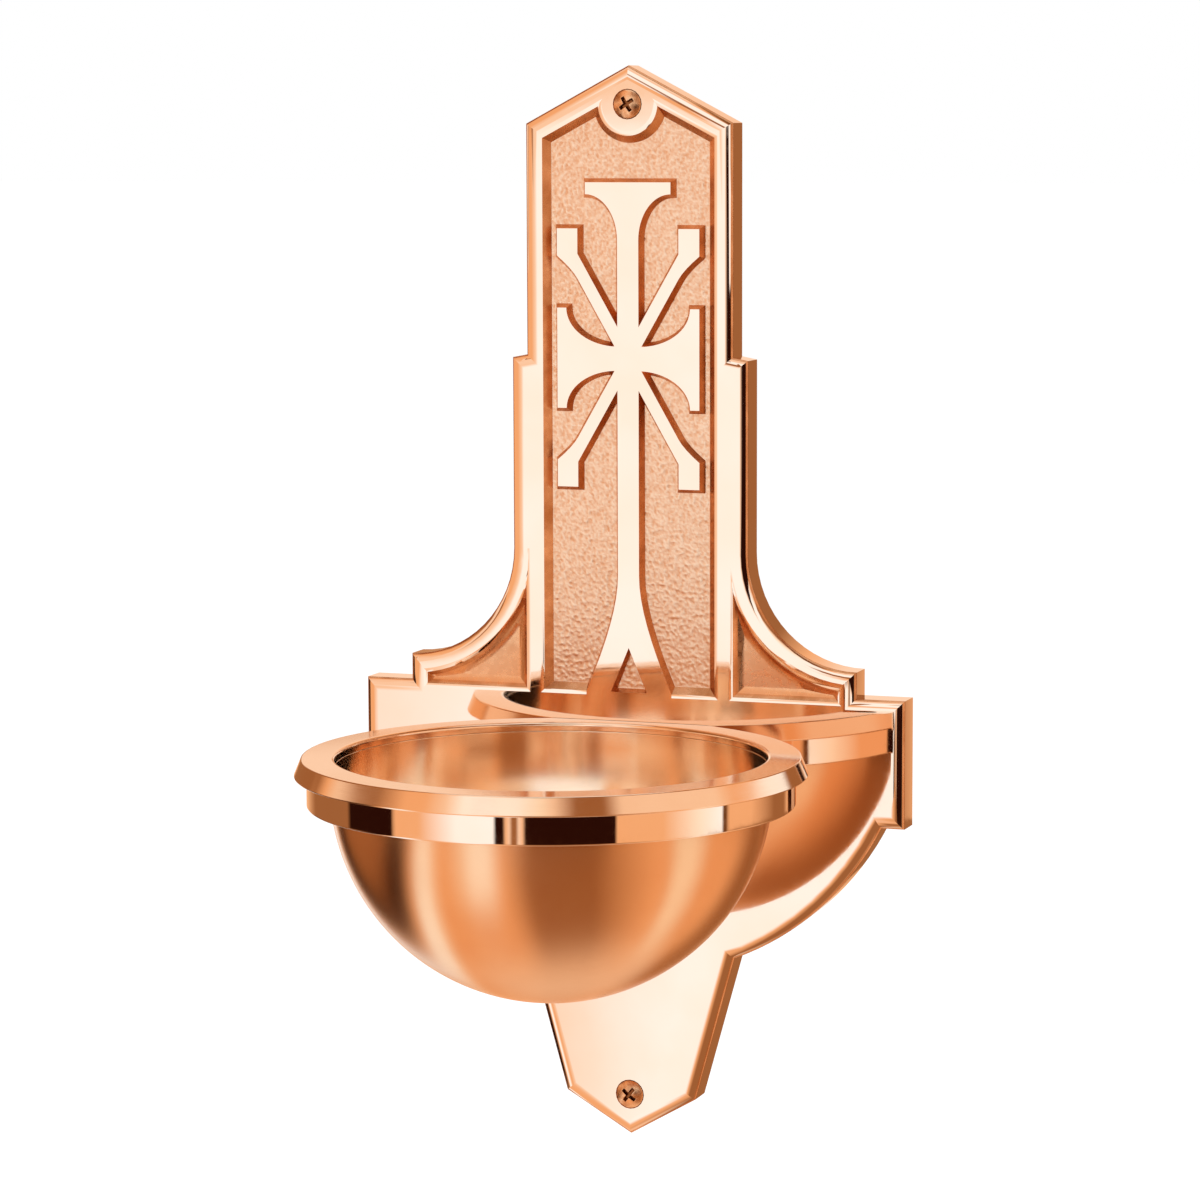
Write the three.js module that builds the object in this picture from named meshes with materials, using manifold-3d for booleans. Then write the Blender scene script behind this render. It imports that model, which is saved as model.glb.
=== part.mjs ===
// A wall-hung holy water stoup in bronze: a hollow-backed cast plate with a cross in relief, a ring screwed
// to its face, and a round bowl whose rim hangs on the ring, so that it lifts out to be filled and cleaned.
// Millimetres. The origin is on the wall plane, on the centre line, at the middle of the ring's height.
// +X is to the right as the stoup is faced, +Y goes into the wall and +Z is up.
import * as THREE from "three";
import { mergeVertices } from "three/addons/utils/BufferGeometryUtils.js";
import Module from "manifold-3d";

const wasm = await Module();
wasm.setup();

// Wall plate outline, as half widths from the centre line and heights from the origin
const PLATE_DEPTH = 11.5;
const TOP_POINT_Z = 234.1;
const GABLE_RISE = 19.4;
const NECK_HALF_WIDTH = 37;
const STEP_BELOW_POINT = 97.9;
const STEP_FALL = 1;
const TRUNK_STEP = 5.3;
const LEDGE_Z = 31.2;
const LEDGE_HEIGHT = 9;
const BLOCK_HALF_WIDTH = 97.5;
const BLOCK_STEP = 16.9;
const BLOCK_BOTTOM_Z = -21.4;
const LOBE_INSET = 8;
const LOBE_CENTRE_Z = 23.1;
const TAIL_TOP_HALF_WIDTH = 37.6;
const TAIL_LENGTH = 50.6;
const TAIL_CORNER_HALF_WIDTH = 23.5;
const TIP_DROP = 13.7;
const CROWN_WIDTH = 4.5;
const CROWN_DEPTH = 1.6;

// Sunk field, spandrels and cross on the plate's face
const RELIEF_DEPTH = 2.8;
const CROSS_DRAFT = 1.3;
const LIP_WIDTH = 1.5;
const LIP_DROP = 0.2;
const FIELD_DRAFT = 2.4;
const FIELD_SIDE_BORDER = 6.2;
const FIELD_GABLE_BORDER = 7.2;
const FIELD_BELOW_LEDGE = 10.2;
const BOSS_BORDER = 5.75;
const SPANDREL_GAP = 6.5;
const SPANDREL_WALL_DEPTH = 1.5;
const SPANDREL_WALL_DRAFT = 1.3;
const SPANDREL_SLOPE_DEPTH = 1;
const SPANDREL_SLOPE_WIDTH = 2.3;
const SPANDREL_BAND = 6.7;
const SPANDREL_END_BAND = 6.2;
const CROSS_BELOW_POINT = 98.8;
const STEM_HALF_WIDTH = 3.8;
const CROSS_TOP_RISE = 59.6;
const CAP_HALF_WIDTH = 15.3;
const CAP_LIP = 4;
const CAP_CURVE_HEIGHT = 15.5;
const FOOT_HALF_WIDTH = 15.4;
const FOOT_FLARE_HEIGHT = 40;
const FOOT_BEND_HEIGHT = 26;
const FOOT_NOTCH_HALF_WIDTH = 6.5;
const FOOT_NOTCH_HEIGHT = 15.4;
const ARM_END_GAP = 5.3;
const ARM_LIP = 3.3;
const ARM_END_HALF_HEIGHT = 17.1;
const ARM_HALF_HEIGHT = 4.1;
const DIAGONAL_HALF_WIDTH = 2.1;
const DIAGONAL_END_WIDTH = 7.4;
const DIAGONAL_END_RISE = 44;
const DIAGONAL_END_HEIGHT = 9.2;

// Hollow back
const EDGE_WALL = 6;
const FACE_WALL = 3.5;
const BACK_DRAFT = 1;
const BACK_BOSS_BORDER = 4.15;
const BACK_PAD_MARGIN = 14;
const BACK_PAD_HEIGHT = 26;

// Bowl, its rim and the ring that it hangs in
const BOWL_RADIUS = 72.2;
const BOWL_WALL = 2;
const RIM_OVERHANG = 4;
const RIM_HEIGHT = 4.6;
const RIM_TAPER = 1.6;
const RIM_TOP_RISE = 1.6;
const RIM_LIP_THICKNESS = 2.8;
const RIM_LIP_ROUNDING = 1.3;
const RIM_EDGE_BREAK = 0.6;
const RING_WALL = 7;
const RING_HEIGHT = 9.4;
const RING_EDGE_BREAK = 0.5;
const EQUATOR_BELOW_RING_TOP = 2.1;
const RING_FLAT_DEPTH = 3;

// Screws: two round-headed ones into the wall, two from behind that hold the ring
const WALL_SCREW_HEAD_RADIUS = 4.85;
const WALL_SCREW_RADIUS = 2.4;
const WALL_SCREW_LENGTH = 38;
const WALL_SCREW_DOME = 1.5;
const WALL_SCREW_POINT = 6;
const TOP_SCREW_BELOW_POINT = 13;
const BOTTOM_SCREW_ABOVE_TIP = 14.1;
const RING_SCREW_HEAD_RADIUS = 4.6;
const RING_SCREW_RADIUS = 2.5;
const RING_SCREW_SPACING = 28;
const RING_SCREW_FLOOR = 0.9;
const RING_SCREW_SINK = 0.5;
const HEAD_CONE_HALF_ANGLE = THREE.MathUtils.degToRad(41);
const RECESS_ARM = 2.4;
const RECESS_WIDTH = 1;
const RECESS_DEPTH = 1.8;

// Clearances
const SEAT_GAP = 0.2;
const BOWL_GAP = 0.3;
const LIFT_GAP = 0.5;
const SCREW_GAP = 0.3;

// Smoothness of the round forms
const BOWL_SEGMENTS = 60;
const BOWL_ARC_STEPS = 12;
const SCREW_SEGMENTS = 20;
const OUTLINE_DIVISIONS = 8;
const COVE_SEGMENTS = 96;
const CROWN_STEPS = 6;
const CUT_PAST = 1;
const MERGE_TOLERANCE = 1e-3;

// Places that follow from the sizes above
const SHOULDER_Z = TOP_POINT_Z - GABLE_RISE;
const GABLE_SLOPE = GABLE_RISE / NECK_HALF_WIDTH;
const STEP_Z = TOP_POINT_Z - STEP_BELOW_POINT;
const TRUNK_HALF_WIDTH = NECK_HALF_WIDTH + TRUNK_STEP;
const COVE_CENTRE_X = BLOCK_HALF_WIDTH - BLOCK_STEP;
const COVE_RADIUS = COVE_CENTRE_X - TRUNK_HALF_WIDTH;
const COVE_CENTRE_Z = LEDGE_Z + COVE_RADIUS;
const BLOCK_TOP_Z = LEDGE_Z - LEDGE_HEIGHT;
const LOBE_TOP_HALF_WIDTH = BLOCK_HALF_WIDTH - LOBE_INSET;
const LOBE_RADIUS = Math.hypot(LOBE_TOP_HALF_WIDTH, LOBE_CENTRE_Z - BLOCK_BOTTOM_Z);
const TAIL_TOP_Z = LOBE_CENTRE_Z - Math.sqrt(LOBE_RADIUS ** 2 - TAIL_TOP_HALF_WIDTH ** 2);
const TAIL_CORNER_Z = TAIL_TOP_Z - TAIL_LENGTH;
const TIP_Z = TAIL_CORNER_Z - TIP_DROP;
const TOP_SCREW_Z = TOP_POINT_Z - TOP_SCREW_BELOW_POINT;
const BOTTOM_SCREW_Z = TIP_Z + BOTTOM_SCREW_ABOVE_TIP;
const FIELD_HALF_WIDTH = NECK_HALF_WIDTH - FIELD_SIDE_BORDER;
const FIELD_BOTTOM_Z = LEDGE_Z - FIELD_BELOW_LEDGE;
const BOSS_RADIUS = WALL_SCREW_HEAD_RADIUS + BOSS_BORDER;
const CROSS_CENTRE_Z = TOP_POINT_Z - CROSS_BELOW_POINT;
const ARM_REACH = FIELD_HALF_WIDTH - ARM_END_GAP;
const DIAGONAL_ANGLE = Math.atan2(DIAGONAL_END_RISE, ARM_REACH);
const HOLLOW_DEPTH = PLATE_DEPTH - RELIEF_DEPTH - FACE_WALL;
const BACK_BOSS_RADIUS = WALL_SCREW_HEAD_RADIUS + BACK_BOSS_BORDER;
const BACK_PAD_WIDTH = RING_SCREW_SPACING + 2 * BACK_PAD_MARGIN;
const RING_BORE = BOWL_RADIUS + BOWL_GAP;
const RING_RADIUS = RING_BORE + RING_WALL;
const RIM_RADIUS = RING_RADIUS + RIM_OVERHANG;
const RIM_TOP_RADIUS = RIM_RADIUS - RIM_TAPER;
const RING_TOP_Z = RING_HEIGHT / 2;
const RIM_BOTTOM_Z = RING_TOP_Z + SEAT_GAP;
const RIM_TOP_Z = RIM_BOTTOM_Z + RIM_HEIGHT;
const BOWL_CENTRE_Z = RING_TOP_Z - EQUATOR_BELOW_RING_TOP;
const RIM_LIP_Z = RIM_TOP_Z + RIM_TOP_RISE;
const BOWL_TOP_Z = RIM_LIP_Z - RIM_LIP_THICKNESS - SEAT_GAP;
const BOWL_REACH = RING_RADIUS - RING_FLAT_DEPTH;
const BOWL_AXIS_Y = -PLATE_DEPTH - BOWL_REACH;
const BORE_AT_SCREW = Math.sqrt(RING_BORE ** 2 - (RING_SCREW_SPACING / 2) ** 2);
const RING_HOLE_DEPTH = BOWL_REACH - SEAT_GAP - BORE_AT_SCREW - RING_SCREW_FLOOR;

// A closed geometry as a solid that can be joined and cut
function solid(geometry) {
  const loose = geometry.index ? geometry.toNonIndexed() : geometry.clone();
  loose.deleteAttribute("normal");
  loose.deleteAttribute("uv");
  const merged = mergeVertices(loose, MERGE_TOLERANCE);
  const vertProperties = merged.attributes.position.array;
  const triVerts = new Uint32Array(merged.index.array);
  return new wasm.Manifold(new wasm.Mesh({ numProp: 3, vertProperties, triVerts }));
}

// A solid as a flat-shaded geometry
function geometryOf(made) {
  const { vertProperties, triVerts } = made.getMesh();
  const indexed = new THREE.BufferGeometry();
  indexed.setAttribute("position", new THREE.BufferAttribute(vertProperties, 3));
  indexed.setIndex(new THREE.BufferAttribute(triVerts, 1));
  const geometry = indexed.toNonIndexed();
  geometry.computeVertexNormals();
  return geometry;
}

// The points of a path, without any that repeat where one stretch meets the next
function distinctPoints(path, divisions) {
  const points = path.getPoints(divisions);
  return points.filter((p, i) => i === 0 || p.distanceTo(points[i - 1]) > MERGE_TOLERANCE);
}

// A whole outline from its right half, a path that runs from the top of the centre line to the bottom.
// A level edge that crosses the centre line keeps no point there.
function mirrored(half) {
  const right = distinctPoints(half, OUTLINE_DIVISIONS);
  const left = right.slice(1, -1).reverse().map((p) => new THREE.Vector2(-p.x, p.y));
  const level = (p, q) => Math.abs(p.y - q.y) < MERGE_TOLERANCE;
  const bottom = right.at(-1);
  const trimmed = level(bottom, right.at(-2)) ? right.slice(0, -1) : right;
  return new THREE.Shape([...(level(right[0], right[1]) ? trimmed.slice(1) : trimmed), ...left]);
}

// Stands a sketch drawn in x and y up against the wall: its y becomes z, and it comes forwards from faceY
function stood(geometry, faceY) {
  return solid(geometry.rotateX(Math.PI / 2).translate(0, faceY, 0));
}

// A sketch standing up from the sunk field, level with the plate's face, with walls that spread downwards
function raised(shape) {
  const form = {
    depth: CUT_PAST,
    bevelThickness: RELIEF_DEPTH,
    bevelSize: CROSS_DRAFT,
    bevelSegments: 1,
  };
  return stood(new THREE.ExtrudeGeometry(shape, form), -PLATE_DEPTH + CUT_PAST + RELIEF_DEPTH);
}

// A box given by its size and middle
function block(width, depth, height, x, y, z) {
  return solid(new THREE.BoxGeometry(width, depth, height).translate(x, y, z));
}

// A profile of radius and distance turned about the Y axis, the way the screws point
function turnedAlongY(points, segments) {
  const profile = points.map(([r, y]) => new THREE.Vector2(r, y));
  return new THREE.LatheGeometry(profile, segments);
}

// A profile of radius and height turned about the bowl's upright axis
function turnedOnBowlAxis(profile) {
  return new THREE.LatheGeometry(profile, BOWL_SEGMENTS).rotateX(Math.PI / 2).translate(0, BOWL_AXIS_Y, 0);
}

// Everything behind a plane that faces the bowl, wide enough to cut a flat across the rim or the ring
function behindPlane(y) {
  const size = 4 * RIM_RADIUS;
  return block(size, size, size, 0, y + size / 2, 0);
}

// Wall plate: gabled neck, stepped trunk, coves out to a block behind the bowl, round lobe and pointed tail
function plateOutline() {
  const lobeAngle = Math.asin((BLOCK_BOTTOM_Z - LOBE_CENTRE_Z) / LOBE_RADIUS);
  const tailAngle = -Math.acos(TAIL_TOP_HALF_WIDTH / LOBE_RADIUS);
  const half = new THREE.Path();
  half.moveTo(0, TOP_POINT_Z);
  half.lineTo(NECK_HALF_WIDTH, SHOULDER_Z);
  half.lineTo(NECK_HALF_WIDTH, STEP_Z);
  half.lineTo(TRUNK_HALF_WIDTH, STEP_Z - STEP_FALL);
  half.absarc(COVE_CENTRE_X, COVE_CENTRE_Z, COVE_RADIUS, Math.PI, 1.5 * Math.PI, false);
  half.lineTo(COVE_CENTRE_X, BLOCK_TOP_Z);
  half.lineTo(BLOCK_HALF_WIDTH, BLOCK_TOP_Z);
  half.lineTo(BLOCK_HALF_WIDTH, BLOCK_BOTTOM_Z);
  half.absarc(0, LOBE_CENTRE_Z, LOBE_RADIUS, lobeAngle, tailAngle, true);
  half.lineTo(TAIL_CORNER_HALF_WIDTH, TAIL_CORNER_Z);
  half.lineTo(0, TIP_Z);
  return mirrored(half);
}

// Sunk field, drawn in by inset: follows the gable, and leaves a round boss for the top screw
function fieldPoints(inset) {
  const halfWidth = FIELD_HALF_WIDTH - inset;
  const bossRadius = BOSS_RADIUS + inset;
  const footZ = FIELD_BOTTOM_Z + inset;
  const edgeZ = TOP_POINT_Z - (FIELD_GABLE_BORDER + inset) * Math.hypot(1, GABLE_SLOPE);
  const drop = edgeZ - TOP_SCREW_Z;
  const a = 1 + GABLE_SLOPE ** 2;
  const b = -GABLE_SLOPE * drop;
  const meetX = (-b + Math.sqrt(b * b - a * (drop * drop - bossRadius ** 2))) / a;
  const meetAngle = Math.atan2(drop - GABLE_SLOPE * meetX, meetX);
  const half = new THREE.Path();
  half.moveTo(0, TOP_SCREW_Z - bossRadius);
  half.absarc(0, TOP_SCREW_Z, bossRadius, -Math.PI / 2, meetAngle, false);
  half.lineTo(halfWidth, edgeZ - GABLE_SLOPE * halfWidth);
  half.lineTo(halfWidth, footZ);
  half.lineTo(0, footZ);
  return mirrored(half).getPoints().reverse();
}

// Upright of the cross: a capital at the top, and a foot that spreads into the band under the field
function stemOutline() {
  const topZ = CROSS_CENTRE_Z + CROSS_TOP_RISE;
  const capZ = topZ - CAP_LIP;
  const flareZ = FIELD_BOTTOM_Z + FOOT_FLARE_HEIGHT;
  const half = new THREE.Path();
  half.moveTo(0, topZ);
  half.lineTo(CAP_HALF_WIDTH, topZ);
  const curveWidth = CAP_HALF_WIDTH - STEM_HALF_WIDTH;
  const curveZ = capZ - CAP_CURVE_HEIGHT;
  half.absellipse(CAP_HALF_WIDTH, curveZ, curveWidth, CAP_CURVE_HEIGHT, Math.PI / 2, Math.PI, false);
  half.lineTo(STEM_HALF_WIDTH, flareZ);
  const bendZ = FIELD_BOTTOM_Z + FOOT_BEND_HEIGHT;
  half.quadraticCurveTo(STEM_HALF_WIDTH, bendZ, FOOT_HALF_WIDTH, FIELD_BOTTOM_Z);
  half.lineTo(FOOT_HALF_WIDTH, FIELD_BOTTOM_Z - 2 * CROSS_DRAFT);
  half.lineTo(0, FIELD_BOTTOM_Z - 2 * CROSS_DRAFT);
  return mirrored(half);
}

// Cross arms: one bar that opens out to a wide lip at both ends
function armsOutline() {
  const curveStart = ARM_REACH - ARM_LIP;
  const curveEnd = STEM_HALF_WIDTH;
  const curveHeight = ARM_END_HALF_HEIGHT - ARM_HALF_HEIGHT;
  const top = CROSS_CENTRE_Z + ARM_END_HALF_HEIGHT;
  const bottom = CROSS_CENTRE_Z - ARM_END_HALF_HEIGHT;
  const half = new THREE.Path();
  half.moveTo(0, CROSS_CENTRE_Z + ARM_HALF_HEIGHT);
  half.absellipse(curveEnd, top, curveStart - curveEnd, curveHeight, -Math.PI / 2, 0, false);
  half.lineTo(ARM_REACH, top);
  half.lineTo(ARM_REACH, bottom);
  half.absellipse(curveEnd, bottom, curveStart - curveEnd, curveHeight, 0, Math.PI / 2, false);
  half.lineTo(0, CROSS_CENTRE_Z - ARM_HALF_HEIGHT);
  return mirrored(half);
}

// One slanting bar of the cross, up and to the side, ending in an upright tab
function diagonalOutline(side, up) {
  const along = new THREE.Vector2(Math.cos(DIAGONAL_ANGLE), Math.sin(DIAGONAL_ANGLE));
  const across = new THREE.Vector2(-along.y, along.x).multiplyScalar(DIAGONAL_HALF_WIDTH);
  const inner = ARM_REACH - DIAGONAL_END_WIDTH;
  const edgeAt = (x, sign) => sign * across.y + ((x - sign * across.x) / along.x) * along.y;
  const place = (x, rise) => [side * x, CROSS_CENTRE_Z + up * rise];
  const shape = new THREE.Shape();
  shape.moveTo(...place(-across.x, -across.y));
  shape.lineTo(...place(inner, edgeAt(inner, -1)));
  const tabFoot = DIAGONAL_END_RISE - DIAGONAL_END_HEIGHT;
  const bendX = inner + DIAGONAL_END_WIDTH / 4;
  shape.quadraticCurveTo(...place(bendX, edgeAt(bendX, -1)), ...place(ARM_REACH, tabFoot));
  shape.lineTo(...place(ARM_REACH, DIAGONAL_END_RISE));
  shape.lineTo(...place(inner, DIAGONAL_END_RISE));
  shape.lineTo(...place(inner, edgeAt(inner, 1)));
  shape.lineTo(...place(across.x, across.y));
  return new THREE.Shape(distinctPoints(shape, OUTLINE_DIVISIONS / 2));
}

// Three-cornered notch between the two halves of the cross's foot, with walls that draw in towards its floor
function footNotch() {
  const half = new THREE.Path();
  half.moveTo(0, FIELD_BOTTOM_Z + FOOT_NOTCH_HEIGHT);
  half.lineTo(FOOT_NOTCH_HALF_WIDTH, FIELD_BOTTOM_Z);
  half.lineTo(0, FIELD_BOTTOM_Z);
  const cut = {
    depth: CUT_PAST,
    bevelThickness: RELIEF_DEPTH,
    bevelSize: CROSS_DRAFT,
    bevelOffset: -CROSS_DRAFT,
    bevelSegments: 1,
  };
  return stood(new THREE.ExtrudeGeometry(mirrored(half), cut), -PLATE_DEPTH);
}

// A solid through outlines with as many points each, from the floor of a cut at the wall side to its mouth
function lofted(outlines, places) {
  const count = outlines[0].length;
  const corners = outlines.flatMap((outline, k) => outline.map((p) => [p.x, places[k], p.y]));
  const span = (a, b) => Math.hypot(...corners[a].map((value, axis) => value - corners[b][axis]));
  const faces = [];
  for (const [a, b, c] of THREE.ShapeUtils.triangulateShape(outlines[0], [])) {
    faces.push(a, c, b);
  }
  const mouth = count * (outlines.length - 1);
  for (const [a, b, c] of THREE.ShapeUtils.triangulateShape(outlines.at(-1), [])) {
    faces.push(mouth + a, mouth + b, mouth + c);
  }
  for (let start = 0; start < mouth; start += count) {
    for (let i = 0; i < count; i++) {
      const here = start + i;
      const next = start + ((i + 1) % count);
      const above = here + count;
      const beyond = next + count;
      if (span(here, beyond) < span(next, above)) faces.push(here, next, beyond, here, beyond, above);
      else faces.push(here, next, above, next, beyond, above);
    }
  }
  const geometry = new THREE.BufferGeometry();
  geometry.setAttribute("position", new THREE.Float32BufferAttribute(corners.flat(), 3));
  geometry.setIndex(faces);
  return geometry;
}

// Steps of inset and depth into the plate's face: round a soft lip, then down the walls to the floor
function cutSteps(walls) {
  return [
    [-LIP_WIDTH - LIP_DROP, -CUT_PAST],
    [-LIP_WIDTH, 0],
    [-LIP_WIDTH / 2, LIP_DROP / 4],
    [0, LIP_DROP],
    ...walls,
  ];
}

// A cut into the plate's face whose outline is drawn in, step by step, towards its floor
function sunk(pointsAt, walls) {
  const steps = cutSteps(walls).reverse();
  const outlines = steps.map(([inset]) => pointsAt(inset));
  return solid(lofted(outlines, steps.map(([, depth]) => depth - PLATE_DEPTH)));
}

// Spandrel on the field's right: upright side, level foot and short end, cut off by a cone about the cove
function spandrelCut() {
  const walls = [
    [SPANDREL_WALL_DRAFT, SPANDREL_WALL_DEPTH],
    [SPANDREL_WALL_DRAFT + SPANDREL_SLOPE_WIDTH, SPANDREL_WALL_DEPTH + SPANDREL_SLOPE_DEPTH],
  ];
  const pointsAt = (inset) => {
    const left = FIELD_HALF_WIDTH + SPANDREL_GAP + inset;
    const right = COVE_CENTRE_X - SPANDREL_END_BAND - inset;
    const foot = FIELD_BOTTOM_Z + inset;
    const corners = [[left, foot], [right, foot], [right, COVE_CENTRE_Z], [left, COVE_CENTRE_Z]];
    return corners.map((corner) => new THREE.Vector2(...corner));
  };
  const radius = COVE_RADIUS + SPANDREL_BAND;
  const rings = cutSteps(walls).map(([inset, depth]) => [radius + inset, depth - PLATE_DEPTH]);
  const [mouthRadius, mouthY] = rings[0];
  const [floorRadius, floorY] = rings.at(-1);
  const profile = [
    [0, mouthY - CUT_PAST],
    [mouthRadius, mouthY - CUT_PAST],
    ...rings,
    [floorRadius, floorY + CUT_PAST],
    [0, floorY + CUT_PAST],
  ];
  const cone = turnedAlongY(profile, COVE_SEGMENTS).translate(COVE_CENTRE_X, 0, COVE_CENTRE_Z);
  return sunk(pointsAt, walls).subtract(solid(cone));
}

// A countersunk hole through the plate, running along +Y from its wide mouth at y = 0
function screwHole(headRadius, shankRadius) {
  const head = headRadius + SCREW_GAP;
  const shank = shankRadius + SCREW_GAP;
  const cone = (head - shank) / Math.tan(HEAD_CONE_HALF_ANGLE);
  const length = PLATE_DEPTH + CUT_PAST;
  const profile = [
    [0, -CUT_PAST],
    [head, -CUT_PAST],
    [head, 0],
    [shank, cone],
    [shank, length],
    [0, length],
  ];
  return turnedAlongY(profile, SCREW_SEGMENTS);
}

// The hollow behind the face, which leaves the outer wall, a boss behind each wall screw and the ring's pad
function plateHollow() {
  const inset = EDGE_WALL + BACK_DRAFT;
  const cut = {
    depth: CUT_PAST,
    bevelThickness: HOLLOW_DEPTH,
    bevelSize: BACK_DRAFT,
    bevelOffset: -inset,
    bevelSegments: 1,
  };
  const hollow = stood(new THREE.ExtrudeGeometry(plateOutline(), cut), CUT_PAST);
  const length = 4 * PLATE_DEPTH;
  let rest = hollow.subtract(block(BACK_PAD_WIDTH, length, BACK_PAD_HEIGHT, 0, 0, 0));
  for (const z of [TOP_SCREW_Z, BOTTOM_SCREW_Z]) {
    const boss = new THREE.CylinderGeometry(BACK_BOSS_RADIUS, BACK_BOSS_RADIUS, length, SCREW_SEGMENTS);
    rest = rest.subtract(solid(boss.translate(0, 0, z)));
  }
  return rest;
}

// Wall plate: the outline with its face crowned at the edge, cut and raised in relief, hollowed and drilled
function plateGeometry() {
  const flank = PLATE_DEPTH - CROWN_DEPTH;
  const cast = {
    depth: flank,
    bevelThickness: CROWN_DEPTH,
    bevelSize: CROWN_WIDTH,
    bevelOffset: -CROWN_WIDTH,
    bevelSegments: CROWN_STEPS,
  };
  const width = 4 * BLOCK_HALF_WIDTH;
  const height = 4 * (TOP_POINT_Z - TIP_Z);
  const squareBack = block(width, 2 * flank, height, 0, -flank, 0);
  let plate = stood(new THREE.ExtrudeGeometry(plateOutline(), cast), 0).intersect(squareBack);
  plate = plate.subtract(sunk(fieldPoints, [[FIELD_DRAFT, RELIEF_DEPTH]]));
  plate = plate.add(raised(stemOutline())).add(raised(armsOutline()));
  const spandrel = spandrelCut();
  for (const side of [-1, 1]) {
    for (const up of [-1, 1]) plate = plate.add(raised(diagonalOutline(side, up)));
    plate = plate.subtract(side > 0 ? spandrel : spandrel.mirror([1, 0, 0]));
  }
  plate = plate.subtract(footNotch());
  plate = plate.subtract(plateHollow());
  for (const z of [TOP_SCREW_Z, BOTTOM_SCREW_Z]) {
    const hole = screwHole(WALL_SCREW_HEAD_RADIUS, WALL_SCREW_RADIUS);
    plate = plate.subtract(solid(hole.translate(0, -PLATE_DEPTH, z)));
  }
  for (const x of ringScrewPlaces()) {
    const hole = screwHole(RING_SCREW_HEAD_RADIUS, RING_SCREW_RADIUS);
    plate = plate.subtract(solid(hole.rotateX(Math.PI).translate(x, -RING_SCREW_SINK, 0)));
  }
  return geometryOf(plate);
}

// Where the two ring screws stand, to each side of the centre line
function ringScrewPlaces() {
  return [-RING_SCREW_SPACING / 2, RING_SCREW_SPACING / 2];
}

// Ring: a plain band with a flat at the back, where two tapped holes take the screws through the plate
function ringGeometry() {
  const half = RING_HEIGHT / 2;
  const edge = RING_EDGE_BREAK;
  const profile = new THREE.Path();
  profile.moveTo(RING_BORE, -half);
  profile.lineTo(RING_RADIUS - edge, -half);
  profile.lineTo(RING_RADIUS, -half + edge);
  profile.lineTo(RING_RADIUS, half - edge);
  profile.lineTo(RING_RADIUS - edge, half);
  profile.lineTo(RING_BORE, half);
  profile.lineTo(RING_BORE, -half);
  const flatY = -PLATE_DEPTH - SEAT_GAP;
  let ring = solid(turnedOnBowlAxis(profile.getPoints())).subtract(behindPlane(flatY));
  const holeRadius = RING_SCREW_RADIUS + SCREW_GAP;
  const cutLength = RING_HOLE_DEPTH + CUT_PAST;
  for (const x of ringScrewPlaces()) {
    const hole = new THREE.CylinderGeometry(holeRadius, holeRadius, cutLength, SCREW_SEGMENTS);
    ring = ring.subtract(solid(hole.translate(x, flatY + CUT_PAST - cutLength / 2, 0)));
  }
  return geometryOf(ring);
}

// Bowl shell: a thin hemisphere with a short collar that stands up inside the rim
function bowlGeometry() {
  const inner = BOWL_RADIUS - BOWL_WALL;
  const profile = new THREE.Path();
  profile.moveTo(0, BOWL_CENTRE_Z - BOWL_RADIUS);
  profile.absarc(0, BOWL_CENTRE_Z, BOWL_RADIUS, -Math.PI / 2, 0, false);
  profile.lineTo(BOWL_RADIUS, BOWL_TOP_Z);
  profile.lineTo(inner, BOWL_TOP_Z);
  profile.absarc(0, BOWL_CENTRE_Z, inner, 0, -Math.PI / 2, true);
  return turnedOnBowlAxis(distinctPoints(profile, BOWL_ARC_STEPS / 2));
}

// Rim: a heavy band rebated over the shell's collar, whose top rises to a rounded lip round the mouth.
// A flat at the back clears the plate.
function rimGeometry() {
  const inner = BOWL_RADIUS - BOWL_WALL;
  const collar = BOWL_RADIUS + SEAT_GAP;
  const rebateZ = RIM_LIP_Z - RIM_LIP_THICKNESS;
  const edge = RIM_EDGE_BREAK;
  const profile = new THREE.Path();
  profile.moveTo(collar, RIM_BOTTOM_Z);
  profile.lineTo(RIM_RADIUS - edge, RIM_BOTTOM_Z);
  profile.lineTo(RIM_RADIUS, RIM_BOTTOM_Z + edge);
  profile.lineTo(RIM_TOP_RADIUS, RIM_TOP_Z - edge);
  profile.lineTo(RIM_TOP_RADIUS - edge, RIM_TOP_Z);
  profile.lineTo(inner + RIM_LIP_ROUNDING, RIM_LIP_Z);
  profile.quadraticCurveTo(inner, RIM_LIP_Z, inner, RIM_LIP_Z - RIM_LIP_ROUNDING);
  profile.lineTo(inner, rebateZ);
  profile.lineTo(collar, rebateZ);
  profile.lineTo(collar, RIM_BOTTOM_Z);
  const rim = solid(turnedOnBowlAxis(distinctPoints(profile, 4)));
  return geometryOf(rim.subtract(behindPlane(-PLATE_DEPTH - LIFT_GAP)));
}

// Cross recess for the driver, cut into a head whose face is at faceY
function crossRecess(faceY) {
  const depth = 2 * (RECESS_DEPTH + CUT_PAST);
  const y = faceY - CUT_PAST;
  const bar = block(2 * RECESS_ARM, depth, RECESS_WIDTH, 0, y, 0);
  return bar.add(block(RECESS_WIDTH, depth, 2 * RECESS_ARM, 0, y, 0));
}

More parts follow.
